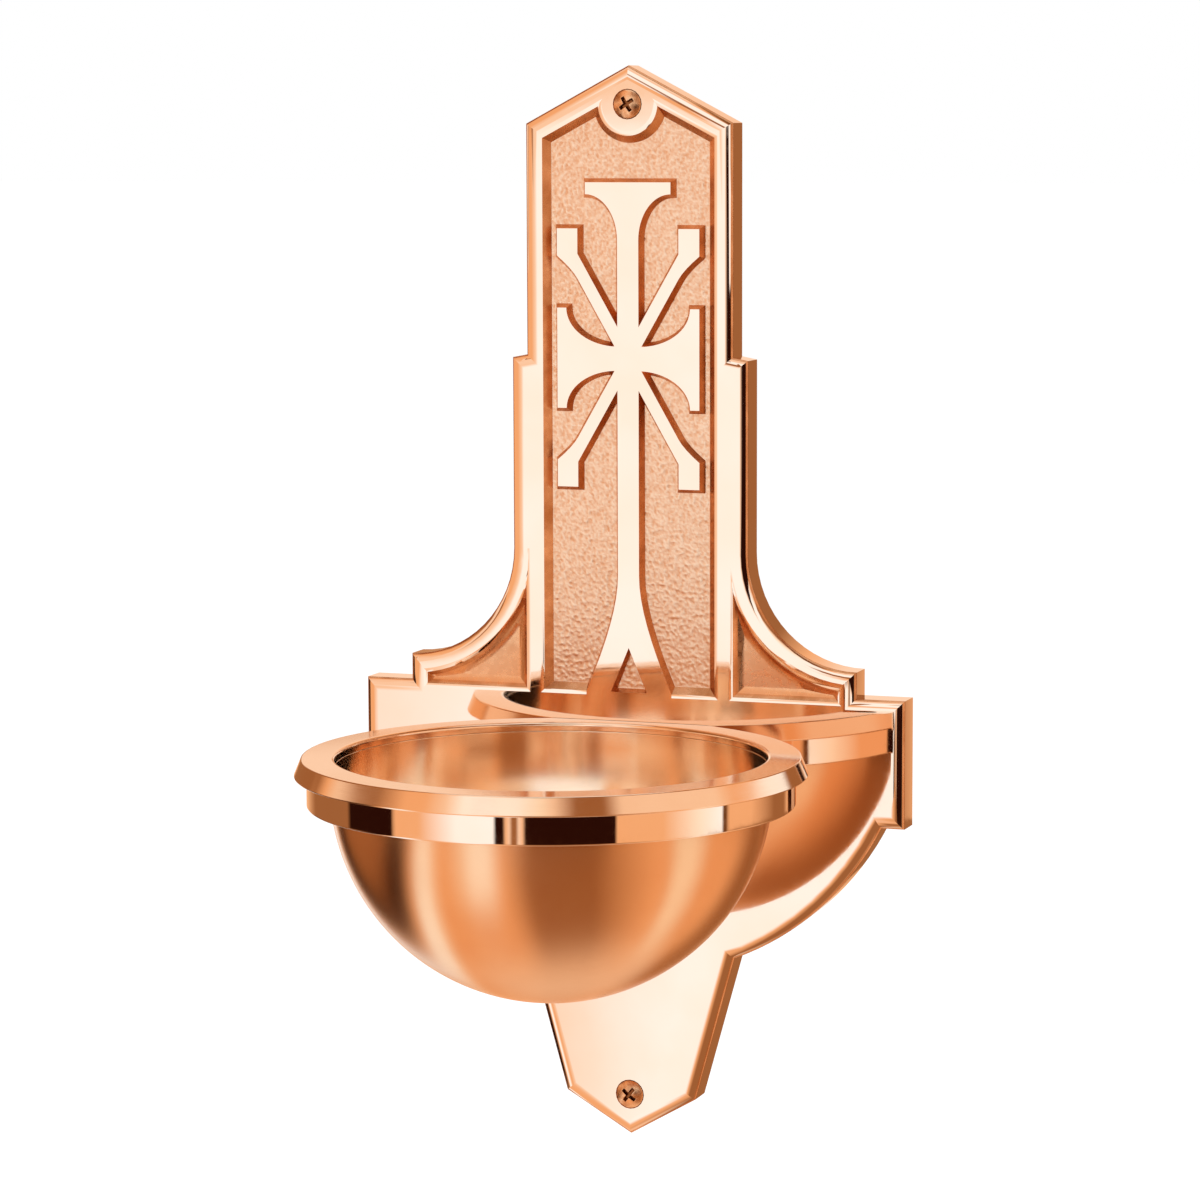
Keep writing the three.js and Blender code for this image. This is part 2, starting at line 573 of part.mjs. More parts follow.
// Wall screw: domed countersunk head with its rim level with the plate's face, plain shank and a point
function wallScrewGeometry() {
  const cone = (WALL_SCREW_HEAD_RADIUS - WALL_SCREW_RADIUS) / Math.tan(HEAD_CONE_HALF_ANGLE);
  const crownRadius = (WALL_SCREW_HEAD_RADIUS ** 2 + WALL_SCREW_DOME ** 2) / (2 * WALL_SCREW_DOME);
  const crownAngle = Math.asin(WALL_SCREW_HEAD_RADIUS / crownRadius);
  const profile = new THREE.Path();
  profile.moveTo(0, -WALL_SCREW_DOME);
  const crownY = crownRadius - WALL_SCREW_DOME;
  profile.absarc(0, crownY, crownRadius, -Math.PI / 2, -Math.PI / 2 + crownAngle, false);
  profile.lineTo(WALL_SCREW_RADIUS, cone);
  profile.lineTo(WALL_SCREW_RADIUS, WALL_SCREW_LENGTH - WALL_SCREW_POINT);
  profile.lineTo(0, WALL_SCREW_LENGTH);
  const screw = solid(new THREE.LatheGeometry(distinctPoints(profile, 2), SCREW_SEGMENTS));
  return geometryOf(screw.subtract(crossRecess(-WALL_SCREW_DOME)));
}

// Ring screw: flat countersunk head sunk in the pad, shank through the plate and into the ring
function ringScrewGeometry() {
  const cone = (RING_SCREW_HEAD_RADIUS - RING_SCREW_RADIUS) / Math.tan(HEAD_CONE_HALF_ANGLE);
  const length = PLATE_DEPTH - RING_SCREW_SINK + SEAT_GAP + RING_HOLE_DEPTH - SCREW_GAP;
  const profile = [
    [0, 0],
    [RING_SCREW_HEAD_RADIUS, 0],
    [RING_SCREW_RADIUS, cone],
    [RING_SCREW_RADIUS, length],
    [0, length],
  ];
  const screw = solid(turnedAlongY(profile, SCREW_SEGMENTS)).subtract(crossRecess(0));
  return geometryOf(screw).rotateX(Math.PI);
}

const polished = { color: 0xf8d8bc, roughness: 0.08, metalness: 1 };
const satin = { color: 0xe39a63, roughness: 0.35, metalness: 1 };
const dull = { color: 0xb4713f, roughness: 0.5, metalness: 1 };

function piece(name, geometry, finish) {
  const mesh = new THREE.Mesh(geometry, new THREE.MeshStandardMaterial(finish));
  mesh.name = name;
  return mesh;
}

const stoup = new THREE.Group();
stoup.name = "holy_water_stoup";
stoup.add(piece("back_plate", plateGeometry(), polished));
stoup.add(piece("bowl_ring", ringGeometry(), polished));

const liftOutBowl = new THREE.Group();
liftOutBowl.add(piece("bowl_shell", bowlGeometry(), satin));
liftOutBowl.add(piece("bowl_rim", rimGeometry(), satin));
stoup.add(liftOutBowl);

for (const [name, z] of [["wall_screw_top", TOP_SCREW_Z], ["wall_screw_bottom", BOTTOM_SCREW_Z]]) {
  const screw = piece(name, wallScrewGeometry(), dull);
  screw.position.set(0, -PLATE_DEPTH, z);
  stoup.add(screw);
}
ringScrewPlaces().forEach((x, i) => {
  const screw = piece(["ring_screw_left", "ring_screw_right"][i], ringScrewGeometry(), dull);
  screw.position.set(x, -RING_SCREW_SINK, 0);
  stoup.add(screw);
});

export default stoup;
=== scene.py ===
import math

import bmesh
import bpy
from bpy.props import FloatProperty, FloatVectorProperty, IntProperty, PointerProperty
from mathutils import Matrix, Vector


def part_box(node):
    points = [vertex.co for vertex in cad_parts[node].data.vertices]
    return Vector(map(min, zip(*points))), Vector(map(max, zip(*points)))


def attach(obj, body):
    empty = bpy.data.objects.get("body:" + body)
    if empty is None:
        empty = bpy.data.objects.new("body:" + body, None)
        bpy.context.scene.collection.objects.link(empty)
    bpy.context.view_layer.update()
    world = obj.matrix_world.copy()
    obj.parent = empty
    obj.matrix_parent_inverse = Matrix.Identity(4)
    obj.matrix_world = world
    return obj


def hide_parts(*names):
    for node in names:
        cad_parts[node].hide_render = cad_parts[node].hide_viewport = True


bl_info = {
    "name": "Holy Water Stoup",
    "version": (1, 0, 0),
    "blender": (4, 5, 0),
    "location": "View3D > Sidebar > Stoup",
    "description": "Models a wall-hung bronze stoup on its frame, with its light and camera",
    "category": "Object",
}

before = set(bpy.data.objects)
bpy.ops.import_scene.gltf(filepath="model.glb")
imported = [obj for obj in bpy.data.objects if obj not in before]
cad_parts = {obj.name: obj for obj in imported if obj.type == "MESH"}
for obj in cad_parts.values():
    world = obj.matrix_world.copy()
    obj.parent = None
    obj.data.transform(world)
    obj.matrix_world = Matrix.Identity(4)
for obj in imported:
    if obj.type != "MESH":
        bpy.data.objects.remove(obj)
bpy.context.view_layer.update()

MM = 0.001
FULL_TURN = 2 * math.pi
MERGE_DISTANCE = 1e-6

# Places that the frame gives
FACE_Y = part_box("back_plate")[0].y
RING_LOW, RING_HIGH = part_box("bowl_ring")
SHELL_LOW, SHELL_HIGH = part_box("bowl_shell")
RIM_LOW, RIM_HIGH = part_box("bowl_rim")
WALL_SCREW_LOW, WALL_SCREW_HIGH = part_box("wall_screw_top")
RING_SCREW_LOW, RING_SCREW_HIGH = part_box("ring_screw_left")
BOWL_AXIS_Y = RING_LOW.y + RING_HIGH.x


def length_property(name, description, default, **limits):
    """A length that a user would change."""
    return FloatProperty(
        name=name, description=description, default=default, unit="LENGTH", precision=5, **limits)


def colour_property(name, description, default):
    """A colour that a user would change."""
    return FloatVectorProperty(
        name=name, description=description, default=default, subtype="COLOR")


class StoupSizes(bpy.types.PropertyGroup):
    """Sizes of the pieces' finer shapes, which the frame doesn't hold."""

    plate_edge: length_property(
        "Plate edge", "Width of the rounding on the casting's edges", 0.25 * MM, min=0)
    field_depth: length_property(
        "Field depth", "How far the sunk field lies behind the plate's face", 2.8 * MM)
    hollow_depth: length_property(
        "Hollow depth", "Depth of the hollow in the plate's back", 5.2 * MM)
    stipple_cell: length_property(
        "Stipple cell", "Spacing of the points that the stipple is formed from",
        0.45 * MM, min=0.2 * MM)
    stipple_grain: length_property("Stipple grain", "Size of one grain of the stipple", 0.85 * MM)
    stipple_height: length_property(
        "Stipple height", "Height of the stipple from its pits to its crests", 0.62 * MM)
    bowl_wall: length_property("Bowl wall", "Thickness of the spun bowl", 2 * MM)
    ring_clearance: length_property(
        "Ring clearance", "Gap between the bowl and the ring's bore", 0.3 * MM)
    ring_edge: length_property("Ring edge", "Rounding of the ring's edges", 0.5 * MM)
    rim_height: length_property("Rim height", "Height of the rim's outer face", 6.1 * MM)
    rim_taper: length_property(
        "Rim taper", "How far the rim's outer face draws in to its top", 2.1 * MM)
    rim_edge: length_property("Rim edge", "Rounding of the rim's outer edges", 0.6 * MM)
    rim_lip_rounding: length_property(
        "Rim lip rounding", "Rounding of the rim's inner edge", 1.3 * MM)
    collar_clearance: length_property(
        "Collar clearance", "Gap between the rim and the bowl's collar", 0.2 * MM)
    turning_steps: IntProperty(
        name="Turning steps", description="Steps round each turned piece", default=160, min=24)
    wall_screw_dome: length_property("Wall screw dome", "Rise of the wall screws' heads", 1.5 * MM)
    recess_reach: length_property(
        "Recess reach", "Length of the cross recess from its middle", 4.3 * MM)
    recess_width: length_property("Recess width", "Width of the cross recess", 1.9 * MM)
    recess_depth: length_property("Recess depth", "Depth of the cross recess", 1.9 * MM)
    wood_pitch: length_property("Wood thread pitch", "Pitch of the wall screws' thread", 2 * MM)
    machine_pitch: length_property(
        "Machine thread pitch", "Pitch of the ring screws' thread", 0.8 * MM)


class StoupColours(bpy.types.PropertyGroup):
    """Colours of the bronze's finishes, of the studio, and of the glowing drum whose tones are
    painted reflections in the metal.
    """

    polished: colour_property("Polished", "Mirror polished bronze", (0.955, 0.79, 0.67))
    polished_deep: colour_property(
        "Polished, deeper", "Polished bronze where it has warmed in tone", (0.945, 0.74, 0.59))
    stipple: colour_property("Stipple", "Crests of the stippled field", (0.95, 0.74, 0.57))
    stipple_pit: colour_property("Stipple pits", "Pits of the stippled field", (0.82, 0.47, 0.28))
    # Painted shade: the relief's walls are given a far darker bronze than its floors, for the shade
    # on faces turned aside.
    relief_wall_painted_shade: colour_property(
        "Relief walls", "Walls of the relief, which no polish reaches", (0.52, 0.22, 0.085))
    relief_floor: colour_property(
        "Relief floors", "Sunk floors beside the polished face", (0.84, 0.46, 0.25))
    sand_cast: colour_property(
        "Sand-cast back", "Unfinished casting behind the plate", (0.46, 0.25, 0.13))
    satin: colour_property("Satin", "Brushed outside of the bowl", (0.91, 0.60, 0.38))
    satin_deep: colour_property(
        "Satin, deeper", "Brushed bronze where it has darkened", (0.86, 0.53, 0.32))
    rim: colour_property("Rim", "Brushed rim", (0.95, 0.73, 0.56))
    rim_deep: colour_property(
        "Rim, deeper", "Brushed rim where it has darkened", (0.92, 0.66, 0.47))
    mouth: colour_property("Bowl inside", "Brushed inside of the bowl", (0.955, 0.775, 0.61))
    mouth_deep: colour_property(
        "Bowl inside, deeper", "Inside of the bowl where water has darkened it", (0.94, 0.71, 0.52))
    screw: colour_property("Screw", "Dulled screws", (0.92, 0.57, 0.34))
    screw_dark: colour_property("Screw, tarnished", "Tarnish on the screws", (0.36, 0.14, 0.05))
    # Painted shade: the recess colour is near black, painting the shade that falls in the screws'
    # cross recesses.
    recess: colour_property("Screw recess", "Tarnish in the screws' recesses", (0.22, 0.075, 0.025))
    floor: colour_property("Floor", "Studio floor", (0.93, 0.93, 0.93))
    # The cards are glowing tones of the drum, which only the metal mirrors: painted reflections.
    white_reflection: colour_property(
        "White card", "Card that the metal mirrors as its brightest tone", (1.0, 1.0, 1.0))
    cream_reflection: colour_property("Cream card", "Card a little off white", (0.97, 0.84, 0.70))
    peach_reflection: colour_property(
        "Peach card", "Card between the cream and the warm one", (0.90, 0.65, 0.48))
    warm_reflection: colour_property(
        "Warm card", "Card that the metal mirrors as its middle tone", (0.84, 0.43, 0.21))
    brown_reflection: colour_property(
        "Brown card", "Card that the metal mirrors as its deeper tone", (0.32, 0.125, 0.045))
    umber_reflection: colour_property(
        "Umber card", "Card between the brown and the darkest one", (0.15, 0.055, 0.018))
    dark_reflection: colour_property(
        "Dark card", "Card that the metal mirrors as its darkest tone", (0.02, 0.004, 0.002))


def sizes():
    """The sizes in use."""
    return bpy.context.scene.stoup_sizes


def colours():
    """The colours in use."""
    return bpy.context.scene.stoup_colours


# Modelling

def clear_selection():
    """Leaves edit mode and deselects everything."""
    if bpy.context.mode != "OBJECT":
        bpy.ops.object.mode_set(mode="OBJECT")
    bpy.ops.object.select_all(action="DESELECT")


def pick(piece):
    """Makes one object active and the only one selected."""
    clear_selection()
    piece.select_set(True)
    bpy.context.view_layer.objects.active = piece


def edit(piece):
    """Opens one object in edit mode, with all of it selected."""
    pick(piece)
    bpy.ops.object.mode_set(mode="EDIT")
    bpy.ops.mesh.select_all(action="SELECT")


def begin(name):
    """Starts a piece as one point at the origin and stays in edit mode."""
    clear_selection()
    bpy.ops.mesh.primitive_plane_add(size=0.01)
    piece = bpy.context.object
    piece.name = name
    piece.data.name = name
    bpy.ops.object.mode_set(mode="EDIT")
    bpy.ops.mesh.select_mode(type="VERT")
    bpy.ops.mesh.select_all(action="SELECT")
    bpy.ops.mesh.merge(type="CENTER")
    return piece


def draw_line(points, closed=False):
    """Moves the selected point to the first place and extrudes it through the others."""
    bpy.ops.transform.translate(value=points[0])
    for here, there in zip(points, points[1:]):
        step = [b - a for a, b in zip(here, there)]
        bpy.ops.mesh.extrude_vertices_move(TRANSFORM_OT_translate={"value": step})
    if closed:
        mesh = bmesh.from_edit_mesh(bpy.context.object.data)
        for vertex in mesh.verts:
            vertex.select_set(len(vertex.link_edges) == 1)
        mesh.select_flush_mode()
        bpy.ops.mesh.edge_face_add()


def spin_round(steps, centre, axis):
    """Turns the outline once round an axis and closes the seam and the poles."""
    bpy.ops.mesh.select_all(action="SELECT")
    bpy.ops.mesh.spin(steps=steps, angle=FULL_TURN, center=centre, axis=axis)
    bpy.ops.mesh.select_all(action="SELECT")
    bpy.ops.mesh.remove_doubles(threshold=MERGE_DISTANCE)
    bpy.ops.mesh.normals_make_consistent(inside=False)


def arc(middle, radius, start, end, count):
    """Points of an arc in a profile, from one angle to another in degrees."""
    angles = [math.radians(start + (end - start) * i / count) for i in range(count + 1)]
    return [(middle[0] + radius * math.cos(a), middle[1] + radius * math.sin(a)) for a in angles]


def turned(name, profile, closed):
    """Turns a profile of radius and height round the bowl's upright axis."""
    piece = begin(name)
    draw_line([(radius, BOWL_AXIS_Y, height) for radius, height in profile], closed)
    spin_round(sizes().turning_steps, (0, BOWL_AXIS_Y, 0), (0, 0, 1))
    return piece


def cut_flat(y):
    """Cuts the piece in edit mode flat across its back and closes the cut."""
    bpy.ops.mesh.select_all(action="SELECT")
    bpy.ops.mesh.bisect(
        plane_co=(0, y, 0), plane_no=(0, 1, 0), use_fill=True, clear_outer=True)


def apply_modifier(piece, kind, **settings):
    """Adds a modifier to a piece, sets it and applies it."""
    pick(piece)
    modifier = piece.modifiers.new(kind.lower(), kind)
    for key, value in settings.items():
        setattr(modifier, key, value)
    bpy.ops.object.modifier_apply(modifier=modifier.name)


def round_edges(piece, width, angle):
    """Rounds every edge that is sharper than an angle in degrees."""
    apply_modifier(
        piece, "BEVEL", width=width, segments=2, limit_method="ANGLE",
        angle_limit=math.radians(angle), use_clamp_overlap=True)


def smooth(piece, angle=35):
    """Shades a piece smooth, with its broad faces left true."""
    pick(piece)
    bpy.ops.object.shade_smooth_by_angle(angle=math.radians(angle))
    apply_modifier(piece, "WEIGHTED_NORMAL", mode="FACE_AREA", weight=100, keep_sharp=True)


def combine(piece, other, operation):
    """Joins another object to a piece or cuts it away, and removes the other."""
    apply_modifier(piece, "BOOLEAN", operation=operation, solver="EXACT", object=other)
    bpy.data.objects.remove(other)


def hand_over(piece, body, slot, *nodes):
    """Lets a finished piece ride its body in place of its nodes."""
    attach(piece, body)
    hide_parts(*nodes)


# Nodes

# Sockets of the first value, the second value and the result of a mix, by its kind
MIX_SOCKETS = {"RGBA": (6, 7, 2), "FLOAT": (2, 3, 0)}


def set_sockets(node, values):
    """Sets sockets of a node that nothing is linked to."""
    for socket, value in values.items():
        node.inputs[socket].default_value = value


def add(owner, kind, values=None, **settings):
    """Adds a node to a material or the sky, with its settings and socket values."""
    node = owner.node_tree.nodes.new(kind)
    for key, value in settings.items():
        setattr(node, key, value)
    set_sockets(node, values or {})
    return node


def join(owner, output, socket):
    """Links an output to a socket."""
    owner.node_tree.links.new(output, socket)


def feed(owner, value, socket):
    """Links an output to a socket, or sets the socket to a number or a colour."""
    if isinstance(value, bpy.types.NodeSocket):
        join(owner, value, socket)
    elif socket.type == "RGBA":
        socket.default_value = (*value, 1)
    else:
        socket.default_value = value


def place(owner, offset=(0, 0, 0)):
    """Object coordinates, moved by a mapping."""
    coordinates = add(owner, "ShaderNodeTexCoord")
    mapping = add(owner, "ShaderNodeMapping", {"Location": offset})
    join(owner, coordinates.outputs["Object"], mapping.inputs["Vector"])
    return mapping.outputs["Vector"]


def calculate(owner, operation, *terms):
    """One step of arithmetic on outputs and numbers."""
    node = add(owner, "ShaderNodeMath", operation=operation)
    for term, socket in zip(terms, node.inputs):
        feed(owner, term, socket)
    return node.outputs["Value"]


def about_axis(owner, where):
    """How far a place lies across, ahead and up, and its reach from an upright axis."""
    apart = add(owner, "ShaderNodeSeparateXYZ")
    join(owner, where, apart.inputs["Vector"])
    ahead = calculate(owner, "MULTIPLY", apart.outputs["Y"], -1)
    flat = add(owner, "ShaderNodeVectorMath", {1: (1, 1, 0)}, operation="MULTIPLY")
    join(owner, where, flat.inputs[0])
    reach = add(owner, "ShaderNodeVectorMath", operation="LENGTH")
    join(owner, flat.outputs["Vector"], reach.inputs[0])
    return apart.outputs["X"], ahead, apart.outputs["Z"], reach.outputs["Value"]


def noise(owner, where, scale, detail=3, roughness=0.5):
    """Noise over a place, from 0 to 1."""
    values = {"Scale": scale, "Detail": detail, "Roughness": roughness}
    node = add(owner, "ShaderNodeTexNoise", values)
    join(owner, where, node.inputs["Vector"])
    return node.outputs["Fac"]


def spread(owner, value, low=0, high=1, start=0.3, end=0.7):
    """Spreads a value that runs from start to end between two others."""
    values = {"From Min": start, "From Max": end, "To Min": low, "To Max": high}
    node = add(owner, "ShaderNodeMapRange", values)
    join(owner, value, node.inputs["Value"])
    return node.outputs["Result"]


def mix(owner, factor, first, second, kind="RGBA"):
    """Mixes two colours or two numbers, each a value or an output, by a factor."""
    node = add(owner, "ShaderNodeMix", data_type=kind)
    from_socket, to_socket, result = MIX_SOCKETS[kind]
    join(owner, factor, node.inputs[0])
    feed(owner, first, node.inputs[from_socket])
    feed(owner, second, node.inputs[to_socket])
    return node.outputs[result]


def seen(owner, unseen, strength):
    """One strength for what the camera, mirrors and glass see, and another for light."""
    rays = add(owner, "ShaderNodeLightPath")
    either = rays.outputs["Is Camera Ray"]
    for name in ("Is Glossy Ray", "Is Transmission Ray"):
        either = calculate(owner, "MAXIMUM", either, rays.outputs[name])
    return spread(owner, either, low=unseen, high=strength, start=0, end=1)


def metal(name, colour, roughness):
    """A metal of one colour and roughness, for a finish to work on."""
    material = bpy.data.materials.new(name)
    material.use_nodes = True
    shader = material.node_tree.nodes["Principled BSDF"]
    values = {"Base Color": (*colour, 1), "Metallic": 1, "Roughness": roughness}
    set_sockets(shader, values)
    return material, shader


def tint(material, shader, factor, first, second):
    """Colours a shader between two tones by a factor."""
    join(material, mix(material, factor, first, second), shader.inputs["Base Color"])


def roughen(material, shader, value, low, high, start=0.3, end=0.7):
    """Spreads a shader's roughness between two values."""
    rough = spread(material, value, low, high, start, end)
    join(material, rough, shader.inputs["Roughness"])


def bump(material, shader, height, strength, distance):
    """Raises a shader's surface by a height."""
    node = add(material, "ShaderNodeBump", {"Strength": strength, "Distance": distance})
    join(material, height, node.inputs["Height"])
    join(material, node.outputs["Normal"], shader.inputs["Normal"])


# Finishes

def polished_bronze():
    """Mirror polish, with a slow drift of tone, wiping marks and the buff's last unevenness."""
    tones = colours()
    material, shader = metal("polished bronze", tones.polished, roughness=0.06)
    here = place(material)
    drift = spread(material, noise(material, here, scale=28), start=0.35)
    tint(material, shader, drift, tones.polished, tones.polished_deep)
    wiped = noise(material, here, scale=380, detail=4, roughness=0.6)
    roughen(material, shader, wiped, low=0.02, high=0.055)
    uneven = noise(material, here, scale=60, detail=2)
    bump(material, shader, uneven, strength=0.05, distance=0.3 * MM)
    return material


def stippled_bronze():
    """Stippled ground: crests rubbed bright, pits darker and duller."""
    tones = colours()
    material, shader = metal("stippled bronze", tones.stipple, roughness=0.34)
    crest = add(material, "ShaderNodeAttribute", attribute_name="crest").outputs["Fac"]
    rubbed = spread(material, crest, end=0.64)
    tint(material, shader, rubbed, tones.stipple_pit, tones.stipple)
    roughen(material, shader, crest, low=0.42, high=0.26, start=0, end=1)
    skin = noise(material, place(material), scale=1600)
    bump(material, shader, skin, strength=0.35, distance=0.12 * MM)
    return material


def relief_bronze(name, colour, lighter):
    """Walls or sunk floors of the relief: satin, darker than the face; the walls' far darker colour
    is painted shade.
    """
    material, shader = metal(name, colour, roughness=0.28)
    here = place(material)
    patches = spread(material, noise(material, here, scale=90, detail=4))
    tint(material, shader, patches, colour, lighter)
    roughen(material, shader, noise(material, here, scale=420), low=0.22, high=0.36)
    skin = noise(material, here, scale=700)
    bump(material, shader, skin, strength=0.12, distance=0.1 * MM)
    return material


def sand_cast_bronze():
    """The hollow back as it came from the sand."""
    tones = colours()
    material, shader = metal("sand-cast bronze", tones.sand_cast, roughness=0.6)
    here = place(material)
    stain = spread(material, noise(material, here, scale=45, detail=5, roughness=0.6))
    tint(material, shader, stain, tones.sand_cast, tones.screw_dark)
    roughen(material, shader, noise(material, here, scale=500, detail=4), low=0.5, high=0.75)
    sand = noise(material, here, scale=1100, detail=5, roughness=0.65)
    bump(material, shader, sand, strength=0.6, distance=0.35 * MM)
    return material


def brushed_bronze(name, colour, deeper, height, stretch, roughness):
    """Satin bronze, brushed round the bowl's axis; stretch is by rise, bearing and reach."""
    material, shader = metal(name, colour, roughness)
    centred = place(material, offset=(0, -BOWL_AXIS_Y, -height))
    across, ahead, up, reach = about_axis(material, centred)
    strokes = add(material, "ShaderNodeCombineXYZ")
    rise = calculate(material, "ARCTAN2", up, reach)
    bearing = calculate(material, "ARCTAN2", across, ahead)
    for output, socket in zip((rise, bearing, reach), strokes.inputs):
        join(material, output, socket)
    stretched = add(material, "ShaderNodeMapping", {"Scale": stretch})
    join(material, strokes.outputs["Vector"], stretched.inputs["Vector"])
    lines = noise(material, stretched.outputs["Vector"], scale=1, detail=4, roughness=0.65)
    darkened = spread(material, noise(material, centred, scale=30))
    tint(material, shader, darkened, colour, deeper)
    roughen(material, shader, lines, low=roughness - 0.02, high=roughness + 0.03)
    set_sockets(shader, {"Anisotropic": 0.92, "Anisotropic Rotation": 0.25})
    tangent = add(material, "ShaderNodeTangent", direction_type="RADIAL", axis="Z")
    join(material, tangent.outputs["Tangent"], shader.inputs["Tangent"])
    bump(material, shader, lines, strength=0.07, distance=0.05 * MM)
    return material


def screw_bronze(name, colour):
    """Dulled bronze of the screws, tarnished in patches; in the recess colour it is painted shade.
    """
    material, shader = metal(name, colour, roughness=0.4)
    here = place(material)
    patches = noise(material, here, scale=260, detail=4, roughness=0.6)
    tarnish = spread(material, patches, start=0.45, end=0.8)
    tint(material, shader, tarnish, colour, colours().screw_dark)
    roughen(material, shader, noise(material, here, scale=700), low=0.22, high=0.4)
    skin = noise(material, here, scale=900)
    bump(material, shader, skin, strength=0.15, distance=0.1 * MM)
    return material


# Back plate

POLISHED, STIPPLED, RELIEF_FLOOR, RELIEF_WALL_PAINTED_SHADE, SAND_CAST = range(5)
LEVEL_TOLERANCE = 0.05 * MM
COPLANAR_ANGLE = 0.003
PLATE_SHARP_ANGLE = 30
PLATE_SHADE_ANGLE = 40

# Where the relief's walls and sunk floors lie, behind the face and behind the field's floor
RELIEF_START = 1.1 * MM
RELIEF_END = 1 * MM

# The least share of a unit normal along Y, by which faces are told apart
GROUND_FACING = 0.99
FLOOR_FACING = 0.9
BACK_FACING = 0.5

# The least fall and turn, in degrees, of a mitre
MITRE_FALL = 0.02 * MM
MITRE_ANGLE = 4

# Textures of the stipple, with their shares of its grain and of its height
STIPPLE_LAYERS = (("CLOUDS", 1, 0.75), ("VORONOI", 0.8, 0.25))


class STOUP_OT_back_plate(bpy.types.Operator):
    """Models the cast back plate: rounds its edges, stipples its field and finishes its faces"""

    bl_idname = "stoup.back_plate"
    bl_label = "Back plate"

    def execute(self, context):
        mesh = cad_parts["back_plate"].data.copy()
        mesh.name = "cast_plate"
        mesh.materials.clear()
        plate = bpy.data.objects.new("cast_plate", mesh)
        context.scene.collection.objects.link(plate)
        edit(plate)
        bpy.ops.mesh.remove_doubles(threshold=MERGE_DISTANCE)
        bpy.ops.mesh.customdata_custom_splitnormals_clear()
        bpy.ops.mesh.dissolve_limited(angle_limit=COPLANAR_ANGLE)
        round_edges(plate, sizes().plate_edge, PLATE_SHARP_ANGLE)
        self.net_ground(plate)
        self.raise_stipple(plate)
        self.finish_faces(plate)
        self.crease(plate)
        smooth(plate, PLATE_SHADE_ANGLE)
        hand_over(plate, "wall_unit", "polished_bronze", "back_plate")
        return {"FINISHED"}

    def floor_y(self):
        """Where the floor of the sunk field lies along Y."""
        return FACE_Y + sizes().field_depth

    def is_ground(self, face):
        """Whether a face lies on the floor of the sunk field."""
        off = abs(face.calc_center_median().y - self.floor_y())
        return off < LEVEL_TOLERANCE and face.normal.y < -GROUND_FACING

    def net_ground(self, plate):
        """Cuts the field's floor into a fine net."""
        cell = sizes().stipple_cell
        edit(plate)
        bpy.ops.mesh.select_mode(type="FACE")
        mesh = bmesh.from_edit_mesh(plate.data)
        for face in mesh.faces:
            face.select_set(self.is_ground(face))
        ground = [vertex.co for vertex in mesh.verts if vertex.select]
        if not ground:
            raise RuntimeError("the plate has no sunk field to stipple")
        low = [min(co[k] for co in ground) for k in range(3)]
        high = [max(co[k] for co in ground) for k in range(3)]
        bmesh.update_edit_mesh(plate.data)
        bpy.ops.mesh.hide(unselected=True)
        for axis in (0, 2):
            normal = [0, 0, 0]
            normal[axis] = 1
            for i in range(1, int((high[axis] - low[axis]) / cell)):
                through = [0, 0, 0]
                through[axis] = low[axis] + i * cell
                bpy.ops.mesh.select_all(action="SELECT")
                bpy.ops.mesh.bisect(plane_co=through, plane_no=normal)
        bpy.ops.mesh.select_all(action="DESELECT")
        bpy.ops.mesh.reveal(select=False)

    def raise_stipple(self, plate):
        """Raises the grain of the netted floor and marks how high each point stands."""
        use = sizes()
        bpy.ops.mesh.select_mode(type="VERT")
        mesh = bmesh.from_edit_mesh(plate.data)
        for face in mesh.faces:
            face.material_index = STIPPLED if self.is_ground(face) else POLISHED
        for vertex in mesh.verts:
            vertex.select_set(all(self.is_ground(face) for face in vertex.link_faces))
        mesh.select_flush_mode()
        bmesh.update_edit_mesh(plate.data)
        group = plate.vertex_groups.new(name="ground")
        bpy.ops.object.vertex_group_assign()
        bpy.ops.object.mode_set(mode="OBJECT")
        for kind, grain, share in STIPPLE_LAYERS:
            texture = bpy.data.textures.new("stipple " + kind.lower(), kind)
            texture.noise_scale = use.stipple_grain * grain
            apply_modifier(
                plate, "DISPLACE", texture=texture, texture_coords="LOCAL", direction="Y",
                mid_level=0.5, strength=-use.stipple_height * share, vertex_group=group.name)
        crest = plate.data.attributes.new("crest", "FLOAT", "POINT")
        for vertex, mark in zip(plate.data.vertices, crest.data):
            mark.value = 0.5 - (vertex.co.y - self.floor_y()) / use.stipple_height

    def finish_faces(self, plate):
        """Gives each face the finish of its place on the casting."""
        tones = colours()
        floors = relief_bronze("relief floor", tones.relief_floor, tones.satin_deep)
        walls = relief_bronze("relief wall painted shade", tones.relief_wall_painted_shade, tones.relief_floor)
        for material in (polished_bronze(), stippled_bronze(), floors, walls, sand_cast_bronze()):
            plate.data.materials.append(material)
        relief_start, relief_end = FACE_Y + RELIEF_START, self.floor_y() + RELIEF_END
        hollow = -sizes().hollow_depth - 2 * LEVEL_TOLERANCE
        for face in plate.data.polygons:
            depths = [plate.data.vertices[i].co.y for i in face.vertices]
            if face.normal.y > BACK_FACING or min(depths) > hollow:
                face.material_index = SAND_CAST
            elif face.material_index != STIPPLED and relief_start < max(depths) < relief_end:
                # Faces that turn aside take the walls' darker bronze: painted shade.
                is_floor = face.normal.y < -FLOOR_FACING
                face.material_index = RELIEF_FLOOR if is_floor else RELIEF_WALL_PAINTED_SHADE

